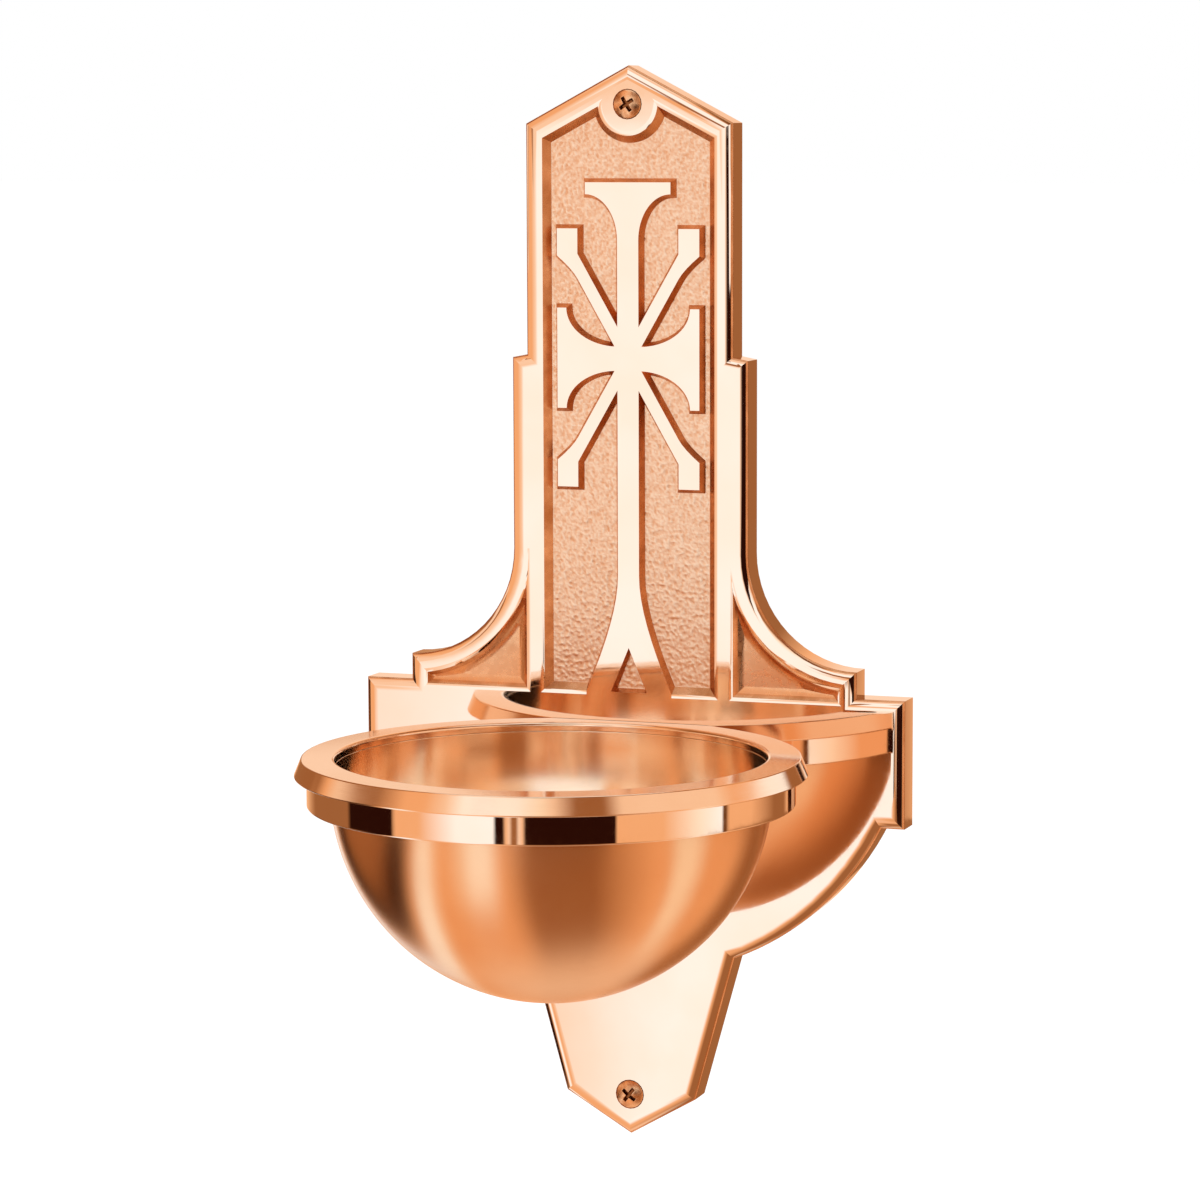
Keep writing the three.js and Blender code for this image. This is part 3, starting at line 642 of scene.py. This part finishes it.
    def crease(self, plate):
        """Keeps the mitres crisp where the runs of the crowned edge meet at a corner."""
        edit(plate)
        mesh = bmesh.from_edit_mesh(plate.data)
        least_turn = math.radians(MITRE_ANGLE)
        for edge in mesh.edges:
            start, end = edge.verts
            polished = all(face.material_index == POLISHED for face in edge.link_faces)
            falls = abs(start.co.y - end.co.y) > MITRE_FALL
            if polished and falls and edge.calc_face_angle(0) > least_turn:
                edge.smooth = False
        bmesh.update_edit_mesh(plate.data)
        clear_selection()


# Ring

SHARP_ANGLE = 45
CORNER_STEPS = 4
RING_BACK_EDGE = 0.2 * MM
DRILL_RADIUS = 2.8 * MM
DRILL_STEPS = 32

# The drill's end beyond the screw's, its point and its shoulder from there, its start behind
DRILL_CLEARANCE = 0.3 * MM
DRILL_POINT = 0.15 * MM
DRILL_SHOULDER = 0.6 * MM
DRILL_OVERRUN = 1 * MM


class STOUP_OT_ring(bpy.types.Operator):
    """Turns the polished ring, cuts its flat back and its two screw holes"""

    bl_idname = "stoup.ring"
    bl_label = "Ring"

    def execute(self, context):
        edge = sizes().ring_edge
        left = SHELL_HIGH.x + sizes().ring_clearance + edge
        right, low, high = RING_HIGH.x - edge, RING_LOW.z + edge, RING_HIGH.z - edge
        profile = []
        for corner, start in (
                ((left, low), 180), ((right, low), 270), ((right, high), 0), ((left, high), 90)):
            profile += arc(corner, edge, start, start + 90, CORNER_STEPS)
        ring = turned("carrier_ring", profile, closed=True)
        cut_flat(RING_HIGH.y)
        for node in ("ring_screw_left", "ring_screw_right"):
            combine(ring, self.drill(node), "DIFFERENCE")
        round_edges(ring, RING_BACK_EDGE, SHARP_ANGLE)
        ring.data.materials.append(polished_bronze())
        smooth(ring)
        hand_over(ring, "wall_unit", "polished_bronze", "bowl_ring")
        return {"FINISHED"}

    def drill(self, node):
        """A drill's shape round a ring screw's shank: a cylinder with a pointed end."""
        low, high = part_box(node)
        middle = (low.x + high.x) / 2
        end = low.y - DRILL_CLEARANCE
        start = RING_HIGH.y + DRILL_OVERRUN
        drill = begin("drill_" + node)
        profile = (
            (0, end - DRILL_POINT), (DRILL_RADIUS, end + DRILL_SHOULDER), (DRILL_RADIUS, start),
            (0, start))
        draw_line([(middle + radius, y, 0) for radius, y in profile])
        spin_round(DRILL_STEPS, (middle, 0, 0), (0, 1, 0))
        return drill


# Bowl

OUTSIDE, MOUTH = range(2)
BOWL_STEPS = 44
BOWL_EDGE = 0.3 * MM
BOWL_EDGE_STEPS = 3
BOWL_STROKES = (520, 7, 0)
BOWL_ROUGHNESS = 0.24
MOUTH_ROUGHNESS = 0.11


class STOUP_OT_bowl(bpy.types.Operator):
    """Spins the thin bowl with its short collar"""

    bl_idname = "stoup.bowl"
    bl_label = "Bowl"

    def execute(self, context):
        tones = colours()
        outer = SHELL_HIGH.x
        inner = outer - sizes().bowl_wall
        middle_z = SHELL_LOW.z + outer
        edge_z = SHELL_HIGH.z - BOWL_EDGE
        profile = arc((0, middle_z), outer, -90, 0, BOWL_STEPS)
        profile += arc((outer - BOWL_EDGE, edge_z), BOWL_EDGE, 0, 90, BOWL_EDGE_STEPS)
        profile += arc((inner + BOWL_EDGE, edge_z), BOWL_EDGE, 90, 180, BOWL_EDGE_STEPS)
        profile += arc((0, middle_z), inner, 0, -90, BOWL_STEPS)
        bowl = turned("spun_bowl", profile, closed=False)
        clear_selection()
        for name, colour, deeper, roughness in (
                ("satin bowl", tones.satin, tones.satin_deep, BOWL_ROUGHNESS),
                ("satin mouth", tones.mouth, tones.mouth_deep, MOUTH_ROUGHNESS)):
            bowl.data.materials.append(
                brushed_bronze(name, colour, deeper, middle_z, BOWL_STROKES, roughness))
        for face in bowl.data.polygons:
            out = face.center - Vector((0, BOWL_AXIS_Y, min(face.center.z, middle_z)))
            face.material_index = MOUTH if out.dot(face.normal) < 0 else OUTSIDE
        smooth(bowl)
        hand_over(bowl, "bowl", "satin_bronze", "bowl_shell")
        return {"FINISHED"}


# Rim

RIM_FOOT_ARC = (270, 350)
RIM_SHOULDER_ARC = (19, 88)
RIM_LIP_STEPS = 6
RIM_REBATE_CLEARANCE = 0.01 * MM
RIM_INNER_EDGE = 0.1 * MM
RIM_INNER_STEPS = 2
RIM_BACK_EDGE = 0.3 * MM
RIM_STROKES = (0, 5, 9000)
RIM_ROUGHNESS = 0.11


class STOUP_OT_rim(bpy.types.Operator):
    """Turns the heavy rim that hangs on the ring, and cuts its back flat to clear the plate"""

    bl_idname = "stoup.rim"
    bl_label = "Rim"

    def execute(self, context):
        use, tones = sizes(), colours()
        edge, lip, small = use.rim_edge, use.rim_lip_rounding, RIM_INNER_EDGE
        bottom, top, outer = RIM_LOW.z, RIM_HIGH.z, RIM_HIGH.x
        inner = SHELL_HIGH.x - use.bowl_wall
        collar = SHELL_HIGH.x + use.collar_clearance
        rebate = SHELL_HIGH.z + RIM_REBATE_CLEARANCE
        shoulder = (outer - use.rim_taper - edge, bottom + use.rim_height - edge)
        profile = arc((outer - edge, bottom + edge), edge, *RIM_FOOT_ARC, CORNER_STEPS)
        profile += arc(shoulder, edge, *RIM_SHOULDER_ARC, CORNER_STEPS)
        profile += arc((inner + lip, top - lip), lip, 90, 180, RIM_LIP_STEPS)
        profile += arc((inner + small, rebate + small), small, 180, 270, RIM_INNER_STEPS)
        profile += [(collar, rebate)]
        profile += arc((collar + small, bottom + small), small, 180, 270, RIM_INNER_STEPS)
        rim = turned("bowl_rim_band", profile, closed=True)
        cut_flat(RIM_HIGH.y)
        round_edges(rim, RIM_BACK_EDGE, SHARP_ANGLE)
        middle_z = (bottom + top) / 2
        rim.data.materials.append(brushed_bronze(
            "satin rim", tones.rim, tones.rim_deep, middle_z, RIM_STROKES, RIM_ROUGHNESS))
        smooth(rim)
        hand_over(rim, "bowl", "satin_bronze", "bowl_rim")
        return {"FINISHED"}


# Screws

# Index of the recesses' painted shade among a screw's materials
RECESS_PAINTED_SHADE = 1
SCREW_STEPS = 40
SCREW_EDGE = 0.08 * MM
SCREW_SHARP_ANGLE = 40
DOME_STEPS = 8
HEAD_EDGE = 0.12 * MM
RECESS_NARROWING = 0.45
TIP_SHARE = 0.04

# Shares of a thread's pitch, how far its ridge is sunk in the core, and its steps
THREAD_DEPTH = 0.3
THREAD_RUN_IN = 0.5
THREAD_FOOT = 0.34
THREAD_FLAT = 0.06
THREAD_SUNK = 0.15 * MM
THREAD_STEPS = 28
THREAD_END_SIDES = 8

# Shank's radius, start of the thread, length of the point, and turns of the recess in degrees
WALL_SHANK = 2.4 * MM
WALL_THREAD_START = 15 * MM
WALL_POINT = 6 * MM
WALL_TURNS = (33, 52)
RING_SHANK = 2.5 * MM
RING_THREAD_START = 3 * MM
RING_POINT = 0.4 * MM
RING_TURNS = (20, -35)


def screw_thread(name, core, crest, start, end, pitch):
    """A screw's thread as a closed ridge wound along the Y axis."""
    ridge = begin(name)
    foot, flat, sunk = THREAD_FOOT * pitch, THREAD_FLAT * pitch, core - THREAD_SUNK
    profile = ((sunk, -foot), (crest, -flat), (crest, flat), (sunk, foot))
    draw_line([(radius, start + along, 0) for radius, along in profile], closed=True)
    clear_selection()
    turns = max(1, int((end - start) / pitch))
    apply_modifier(
        ridge, "SCREW", axis="Y", angle=FULL_TURN, screw_offset=pitch, iterations=turns,
        steps=THREAD_STEPS, render_steps=THREAD_STEPS, use_merge_vertices=True,
        use_smooth_shade=False)
    edit(ridge)
    bpy.ops.mesh.remove_doubles(threshold=MERGE_DISTANCE)
    bpy.ops.mesh.fill_holes(sides=THREAD_END_SIDES)
    bpy.ops.mesh.select_all(action="SELECT")
    bpy.ops.mesh.normals_make_consistent(inside=False)
    clear_selection()
    return ridge


def screw_finishes():
    """The finish of a screw, and the darker one of its recess, which is painted shade."""
    tones = colours()
    return screw_bronze("screw bronze", tones.screw), screw_bronze("screw recess painted shade", tones.recess)


def recess_bar(finishes, head_y, reach_x, reach_z):
    """One bar of the cross recess, which narrows towards its floor."""
    clear_selection()
    bpy.ops.mesh.primitive_cube_add(size=2)
    bar = bpy.context.object
    edit(bar)
    bpy.ops.transform.resize(value=(reach_x, sizes().recess_depth, reach_z))
    bpy.ops.transform.translate(value=(0, head_y, 0))
    bpy.ops.mesh.select_mode(type="FACE")
    mesh = bmesh.from_edit_mesh(bar.data)
    for face in mesh.faces:
        face.select_set(face.normal.y > FLOOR_FACING)
    mesh.select_flush_mode()
    bpy.ops.transform.resize(
        value=(RECESS_NARROWING, 1, RECESS_NARROWING), center_override=(0, head_y, 0))
    clear_selection()
    for finish in finishes:
        bar.data.materials.append(finish)
    # Every face of the bar carries the recess's painted shade.
    for face in bar.data.polygons:
        face.material_index = RECESS_PAINTED_SHADE
    return bar


def screw(name, head, shank, length, dome, pitch, thread_start, point):
    """A countersunk screw along the Y axis, from its head's rim at the origin to its point."""
    use, finishes = sizes(), screw_finishes()
    core = shank - THREAD_DEPTH * pitch
    if dome:
        crown = (head * head + dome * dome) / (2 * dome)
        swing = math.degrees(math.asin(head / crown))
        curve = arc((0, 0), crown, 90, 90 - swing, DOME_STEPS)
        profile = [(x, -y + crown - dome) for x, y in curve]
    else:
        profile = [(0, 0), (head, 0)]
    profile += [(head, HEAD_EDGE), (shank, head - shank), (shank, thread_start)]
    profile += [(core, thread_start + THREAD_RUN_IN * pitch), (core, length), (0, length)]
    piece = begin(name)
    draw_line([(radius, y, 0) for radius, y in profile])
    spin_round(SCREW_STEPS, (0, 0, 0), (0, 1, 0))
    clear_selection()
    for finish in finishes:
        piece.data.materials.append(finish)
    long, short = use.recess_reach, use.recess_width / 2
    for reach_x, reach_z in ((long, short), (short, long)):
        combine(piece, recess_bar(finishes, -dome, reach_x, reach_z), "DIFFERENCE")
    round_edges(piece, SCREW_EDGE, SCREW_SHARP_ANGLE)
    thread = screw_thread(name + "_thread", core, shank, thread_start, length - pitch, pitch)
    combine(piece, thread, "UNION")
    for vertex in piece.data.vertices:
        beyond = vertex.co.y - (length - point)
        if beyond > 0:
            narrow = max(TIP_SHARE, 1 - beyond / point)
            vertex.co.x *= narrow
            vertex.co.z *= narrow
    return piece


def copy_of(piece, name):
    """A copy of a piece with its own mesh."""
    twin = piece.copy()
    twin.data = piece.data.copy()
    twin.name = name
    twin.data.name = name
    bpy.context.scene.collection.objects.link(twin)
    return twin


def set_screw(piece, node, turn, head_y):
    """Turns a screw about its own length in degrees, moves it to its place and hands it over."""
    low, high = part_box(node)
    edit(piece)
    bpy.ops.transform.rotate(
        value=math.radians(turn), orient_axis="Y", center_override=(0, 0, 0))
    bpy.ops.transform.translate(value=((low.x + high.x) / 2, head_y, (low.z + high.z) / 2))
    smooth(piece)
    hand_over(piece, "wall_unit", "screw_bronze", node)


class STOUP_OT_wall_screws(bpy.types.Operator):
    """Models one raised countersunk wall screw and sets it in the gable and in the tail"""

    bl_idname = "stoup.wall_screws"
    bl_label = "Wall screws"

    def execute(self, context):
        use = sizes()
        upper = screw(
            "gable_screw", head=(WALL_SCREW_HIGH.x - WALL_SCREW_LOW.x) / 2, shank=WALL_SHANK,
            length=WALL_SCREW_HIGH.y - FACE_Y, dome=use.wall_screw_dome, pitch=use.wood_pitch,
            thread_start=WALL_THREAD_START, point=WALL_POINT)
        pair = (upper, copy_of(upper, "tail_screw"))
        for piece, node, turn in zip(pair, ("wall_screw_top", "wall_screw_bottom"), WALL_TURNS):
            set_screw(piece, node, turn, head_y=FACE_Y)
        return {"FINISHED"}


class STOUP_OT_ring_screws(bpy.types.Operator):
    """Models one flat countersunk machine screw and sets the pair that holds the ring"""

    bl_idname = "stoup.ring_screws"
    bl_label = "Ring screws"

    def execute(self, context):
        left = screw(
            "pad_screw_left", head=(RING_SCREW_HIGH.x - RING_SCREW_LOW.x) / 2, shank=RING_SHANK,
            length=RING_SCREW_HIGH.y - RING_SCREW_LOW.y, dome=0, pitch=sizes().machine_pitch,
            thread_start=RING_THREAD_START, point=RING_POINT)
        edit(left)
        bpy.ops.transform.rotate(value=math.pi, orient_axis="Z", center_override=(0, 0, 0))
        clear_selection()
        pair = (left, copy_of(left, "pad_screw_right"))
        for piece, node, turn in zip(pair, ("ring_screw_left", "ring_screw_right"), RING_TURNS):
            set_screw(piece, node, turn, head_y=RING_SCREW_HIGH.y)
        return {"FINISHED"}


# Stage

CAMERA_BEARING = 19.7
CAMERA_RISE = 6.86
CAMERA_ROLL = -0.2
CAMERA_DISTANCE = 1.367
CAMERA_TARGET = Vector((-0.0105, -0.0111, 0.0525))
CAMERA_LENS = 119.67
CAMERA_SENSOR = 36
CAMERA_CLIP_END = 100
LAMP_SIZE = 1.2
LAMP_ENERGY = 22
LAMP_PLACE = Vector((-0.9, -1.3, 1.7))
SKY_LIGHT = 0.85
FLOOR_Z = -0.30
FLOOR_SIZE = 60
FLOOR_ROUGHNESS = 0.9
FLOOR_LIFT = 0.22
DRUM_REACH = 1.6
DRUM_LOW = FLOOR_Z + 2 * MM
DRUM_TOP = 3
DRUM_STEPS = 72
DRUM_STRENGTH = 1.15
RAYS_PAST_DRUM = ("camera", "diffuse", "transmission", "volume_scatter", "shadow")

# Painted reflections: glowing tones of the drum's wall, by bearing in degrees from the front
# towards the right
LOW_TONES = (
    (-180, "warm"), (-140, "warm"), (-120, "brown"), (-84, "brown"), (-82, "dark"),
    (-54.3, "dark"), (-53, "warm"), (-40, "warm"), (-22, "white"), (-5.2, "white"),
    (-4.4, "dark"), (-1, "dark"), (-0.4, "warm"), (2, "peach"), (2.6, "brown"), (5, "brown"),
    (5.6, "peach"), (7.8, "warm"), (8.4, "dark"), (46.8, "dark"), (47.8, "warm"), (69, "warm"),
    (88, "cream"), (101.6, "white"), (102.4, "umber"), (104.8, "umber"), (105.8, "warm"),
    (122, "warm"), (144, "brown"), (157, "brown"), (163, "warm"),
)
MIDDLE_TONES = (
    (-180, "warm"), (-140, "brown"), (-110, "brown"), (-95, "warm"), (-45, "warm"),
    (-30, "peach"), (-23, "white"), (3, "white"), (6, "peach"), (9.5, "dark"), (46, "dark"),
    (50, "warm"), (70, "peach"), (100, "peach"), (112, "warm"), (124, "brown"), (165, "brown"),
    (180, "warm"),
)
HIGH_LEFT = (
    (-180, "warm"), (-168, "peach"), (-140, "peach"), (-126, "brown"), (-104, "brown"),
    (-96, "warm"), (-88, "peach"),
)
HIGH_FRONT = ((26, "white"), (36, "peach"), (58, "warm"))
HIGH_RIGHT = (
    (104, "white"), (146, "white"), (152, "brown"), (168, "brown"), (180, "warm"),
)
HIGH_TONES = (
    *HIGH_LEFT, (-66, "peach"), (-60, "brown"), (-38, "brown"), (-32, "peach"), (-14, "peach"),
    (-6, "white"), *HIGH_FRONT, (72, "brown"), (98, "brown"), *HIGH_RIGHT,
)
HIGHER_TONES = (
    *HIGH_LEFT, (-21, "peach"), (-19, "warm"), (-12, "warm"), (-7, "white"),
    *HIGH_FRONT, (80, "peach"), (98, "peach"), *HIGH_RIGHT,
)
TOP_LEFT = (
    (-180, "warm"), (-165, "peach"), (-140, "peach"), (-126, "brown"), (-63, "brown"),
    (-48, "warm"), (-38, "warm"), (-28, "peach"), (-20, "white"),
)
TOP_STREAK = ((-16, "white"), (-13.5, "brown"), (-5, "brown"), (-2, "white"))
TOP_RIGHT = (
    (4, "white"), (14, "cream"), (20, "peach"), (30, "brown"), (43, "brown"), (51, "peach"),
    (98, "peach"), (108, "warm"), (135, "warm"), (150, "brown"), (168, "brown"), (180, "warm"),
)
SKY_TONES = (
    (-180, "warm"), (-120, "brown"), (-80, "brown"), (-60, "warm"), (-40, "warm"),
    (-28, "peach"), (-9, "peach"), (-4, "warm"), (3, "brown"), (10, "umber"), (40, "umber"),
    (52, "brown"), (130, "brown"), (165, "warm"),
)

# The wall's tones upwards, each with the heights between which it takes over
TONES_UPWARDS = (
    (LOW_TONES, FLOOR_Z + 3 * MM, FLOOR_Z + 5 * MM),
    (MIDDLE_TONES, -0.18, -0.13),
    (HIGH_TONES, 0.205, 0.235),
    (HIGHER_TONES, 0.295, 0.315),
    (TOP_LEFT + TOP_STREAK + TOP_RIGHT, 0.47, 0.53),
    (TOP_LEFT + TOP_RIGHT, 0.72, 0.78),
    (SKY_TONES, 1.25, 1.4),
)

# Painted reflections: glowing tones of the drum's ground, by bowed bearing
GROUND_BOW = 0.235
GROUND_LEFT = (
    (-180, "brown"), (-67, "brown"), (-61, "dark"), (-54, "dark"), (-48, "warm"),
    (-45, "white"), (-39.5, "white"), (-37, "peach"), (-33, "warm"),
)
GROUND_STREAK = ((-30, "warm"), (-23, "peach"), (-17.5, "white"), (-11, "white"))
GROUND_RIGHT = (
    (-5, "warm"), (6, "brown"), (36, "brown"), (70, "warm"), (76, "warm"), (83, "cream"),
    (92, "cream"), (99, "peach"), (106, "warm"), (128, "warm"), (150, "brown"),
)
GROUND_FAR_RIGHT = (
    (-5, "warm"), (6, "brown"), (20, "umber"), (44, "umber"), (54, "brown"), (64, "warm"),
    (76, "warm"), (84, "brown"),
)

# The ground's tones outwards, each with the distances between which it takes over
TONES_OUTWARDS = (
    (GROUND_LEFT + GROUND_RIGHT, 0.08, 0.19),
    (GROUND_LEFT + GROUND_STREAK + GROUND_RIGHT, 0.28, 0.42),
    (GROUND_LEFT + GROUND_STREAK + GROUND_FAR_RIGHT, 1.15, 1.3),
)


class STOUP_OT_stage(bpy.types.Operator):
    """Sets the floor, the glowing drum whose tones are painted reflections, the lamp, the sky and
    the camera
    """

    bl_idname = "stoup.stage"
    bl_label = "Stage"

    def execute(self, context):
        self.floor()
        self.drum()
        self.lamp(context.scene)
        self.sky(context.scene)
        self.camera(context.scene)
        context.scene.view_settings.view_transform = "Standard"
        return {"FINISHED"}

    def floor(self):
        """A broad pale floor."""
        clear_selection()
        bpy.ops.mesh.primitive_plane_add(size=FLOOR_SIZE, location=(0, 0, FLOOR_Z))
        floor = bpy.context.object
        floor.name = "floor"
        material, shader = metal("floor", colours().floor, FLOOR_ROUGHNESS)
        set_sockets(
            shader, {"Metallic": 0, "Specular IOR Level": 0, "Emission Color": (1, 1, 1, 1)})
        join(material, seen(material, 0, FLOOR_LIFT), shader.inputs["Emission Strength"])
        floor.data.materials.append(material)

    def drum(self):
        """A round wall and its ground that glow with painted reflections, tones which only the
        metal's reflections see.
        """
        drum = begin("painted_reflection_drum")
        draw_line([(0, 0, DRUM_LOW), (0, -DRUM_REACH, DRUM_LOW), (0, -DRUM_REACH, DRUM_TOP)])
        spin_round(DRUM_STEPS, (0, 0, 0), (0, 0, 1))
        clear_selection()
        drum.data.materials.append(self.painted_reflection_tones())
        for rays in RAYS_PAST_DRUM:
            setattr(drum, "visible_" + rays, False)

    def painted_reflection_tones(self):
        """The glow of the drum, which paints the metal's reflections: the ground's tones outwards,
        then the wall's upwards.
        """
        material = bpy.data.materials.new("painted reflection tones")
        material.use_nodes = True
        material.cycles.emission_sampling = "NONE"
        across, ahead, up, reach = about_axis(material, place(material))
        tone = colours().peach_reflection
        for where, turn, levels in (
                (reach, self.bowed_bearing(material, across, ahead), TONES_OUTWARDS),
                (up, self.bearing(material, across, ahead), TONES_UPWARDS)):
            for tones, start, end in levels:
                share = spread(material, where, start=start, end=end)
                tone = mix(material, share, tone, self.ramp(material, turn, tones))
        glow = add(material, "ShaderNodeEmission", {"Strength": DRUM_STRENGTH})
        output = material.node_tree.nodes["Material Output"]
        join(material, tone, glow.inputs["Color"])
        join(material, glow.outputs["Emission"], output.inputs["Surface"])
        return material

    def bearing(self, material, across, ahead):
        """The bearing of a place round the stoup, as a share of a whole turn."""
        angle = calculate(material, "ARCTAN2", across, ahead)
        return spread(material, angle, start=-math.pi, end=math.pi)

    def bowed_bearing(self, material, across, ahead):
        """The bearing of a place on the ground, along lines that bow past the stoup's left."""
        square = calculate(material, "MULTIPLY_ADD", ahead, ahead, GROUND_BOW ** 2)
        bowed = calculate(material, "SQRT", square)
        is_left = calculate(material, "LESS_THAN", across, 0)
        either = mix(material, is_left, ahead, bowed, kind="FLOAT")
        return self.bearing(material, across, either)

    def ramp(self, material, turn, tones):
        """A ramp of painted reflection tones by bearing."""
        node = add(material, "ShaderNodeValToRGB")
        stops = node.color_ramp.elements
        ready = len(stops)
        for index, (bearing, tone) in enumerate(tones):
            at = (bearing + 180) / 360
            stop = stops[index] if index < ready else stops.new(at)
            stop.position = at
            stop.color = (*getattr(colours(), tone + "_reflection"), 1)
        join(material, turn, node.inputs["Fac"])
        return node.outputs["Color"]

    def lamp(self, scene):
        """One broad soft lamp, high on the left, which the metal doesn't mirror."""
        lamp = bpy.data.lights.new("key", "AREA")
        lamp.shape = "DISK"
        lamp.size = LAMP_SIZE
        lamp.energy = LAMP_ENERGY
        holder = bpy.data.objects.new("key", lamp)
        scene.collection.objects.link(holder)
        holder.location = LAMP_PLACE
        holder.rotation_euler = (-LAMP_PLACE).to_track_quat("-Z", "Y").to_euler()
        holder.visible_glossy = False

    def sky(self, scene):
        """A white sky, dimmer as light than it looks."""
        world = bpy.data.worlds.new("sky")
        scene.world = world
        world.use_nodes = True
        glow = world.node_tree.nodes["Background"]
        set_sockets(glow, {"Color": (1, 1, 1, 1)})
        join(world, seen(world, SKY_LIGHT, 1), glow.inputs["Strength"])

    def camera(self, scene):
        """The camera at the photograph's viewing angle."""
        bearing, rise = math.radians(CAMERA_BEARING), math.radians(CAMERA_RISE)
        right = Vector((math.cos(bearing), math.sin(bearing), 0))
        level = Vector((math.sin(bearing), -math.cos(bearing), 0))
        back = level * math.cos(rise) + Vector((0, 0, math.sin(rise)))
        turn = Matrix((right, back.cross(right), back)).transposed().to_4x4()
        roll = Matrix.Rotation(math.radians(CAMERA_ROLL), 4, "Z")
        lens = bpy.data.cameras.new("camera")
        lens.lens = CAMERA_LENS
        lens.sensor_width = CAMERA_SENSOR
        lens.clip_end = CAMERA_CLIP_END
        camera = bpy.data.objects.new("camera", lens)
        scene.collection.objects.link(camera)
        shift = Matrix.Translation(CAMERA_TARGET + back * CAMERA_DISTANCE)
        camera.matrix_world = shift @ turn @ roll
        scene.camera = camera


OPERATORS = (
    STOUP_OT_back_plate,
    STOUP_OT_ring,
    STOUP_OT_bowl,
    STOUP_OT_rim,
    STOUP_OT_wall_screws,
    STOUP_OT_ring_screws,
    STOUP_OT_stage,
)


class STOUP_PT_panel(bpy.types.Panel):
    """Lists the stoup's operators, sizes and colours"""

    bl_idname = "STOUP_PT_panel"
    bl_label = "Holy Water Stoup"
    bl_space_type = "VIEW_3D"
    bl_region_type = "UI"
    bl_category = "Stoup"

    def draw(self, context):
        for operator in OPERATORS:
            self.layout.operator(operator.bl_idname)
        for group in (context.scene.stoup_sizes, context.scene.stoup_colours):
            box = self.layout.box()
            for name in group.__annotations__:
                box.prop(group, name)


CLASSES = (StoupSizes, StoupColours, *OPERATORS, STOUP_PT_panel)


def register():
    for each in CLASSES:
        bpy.utils.register_class(each)
    bpy.types.Scene.stoup_sizes = PointerProperty(type=StoupSizes)
    bpy.types.Scene.stoup_colours = PointerProperty(type=StoupColours)


def unregister():
    del bpy.types.Scene.stoup_colours
    del bpy.types.Scene.stoup_sizes
    for each in reversed(CLASSES):
        bpy.utils.unregister_class(each)


def main():
    register()
    bpy.ops.stoup.back_plate()
    bpy.ops.stoup.ring()
    bpy.ops.stoup.bowl()
    bpy.ops.stoup.rim()
    bpy.ops.stoup.wall_screws()
    bpy.ops.stoup.ring_screws()
    bpy.ops.stoup.stage()


if __name__ == "__main__":
    main()
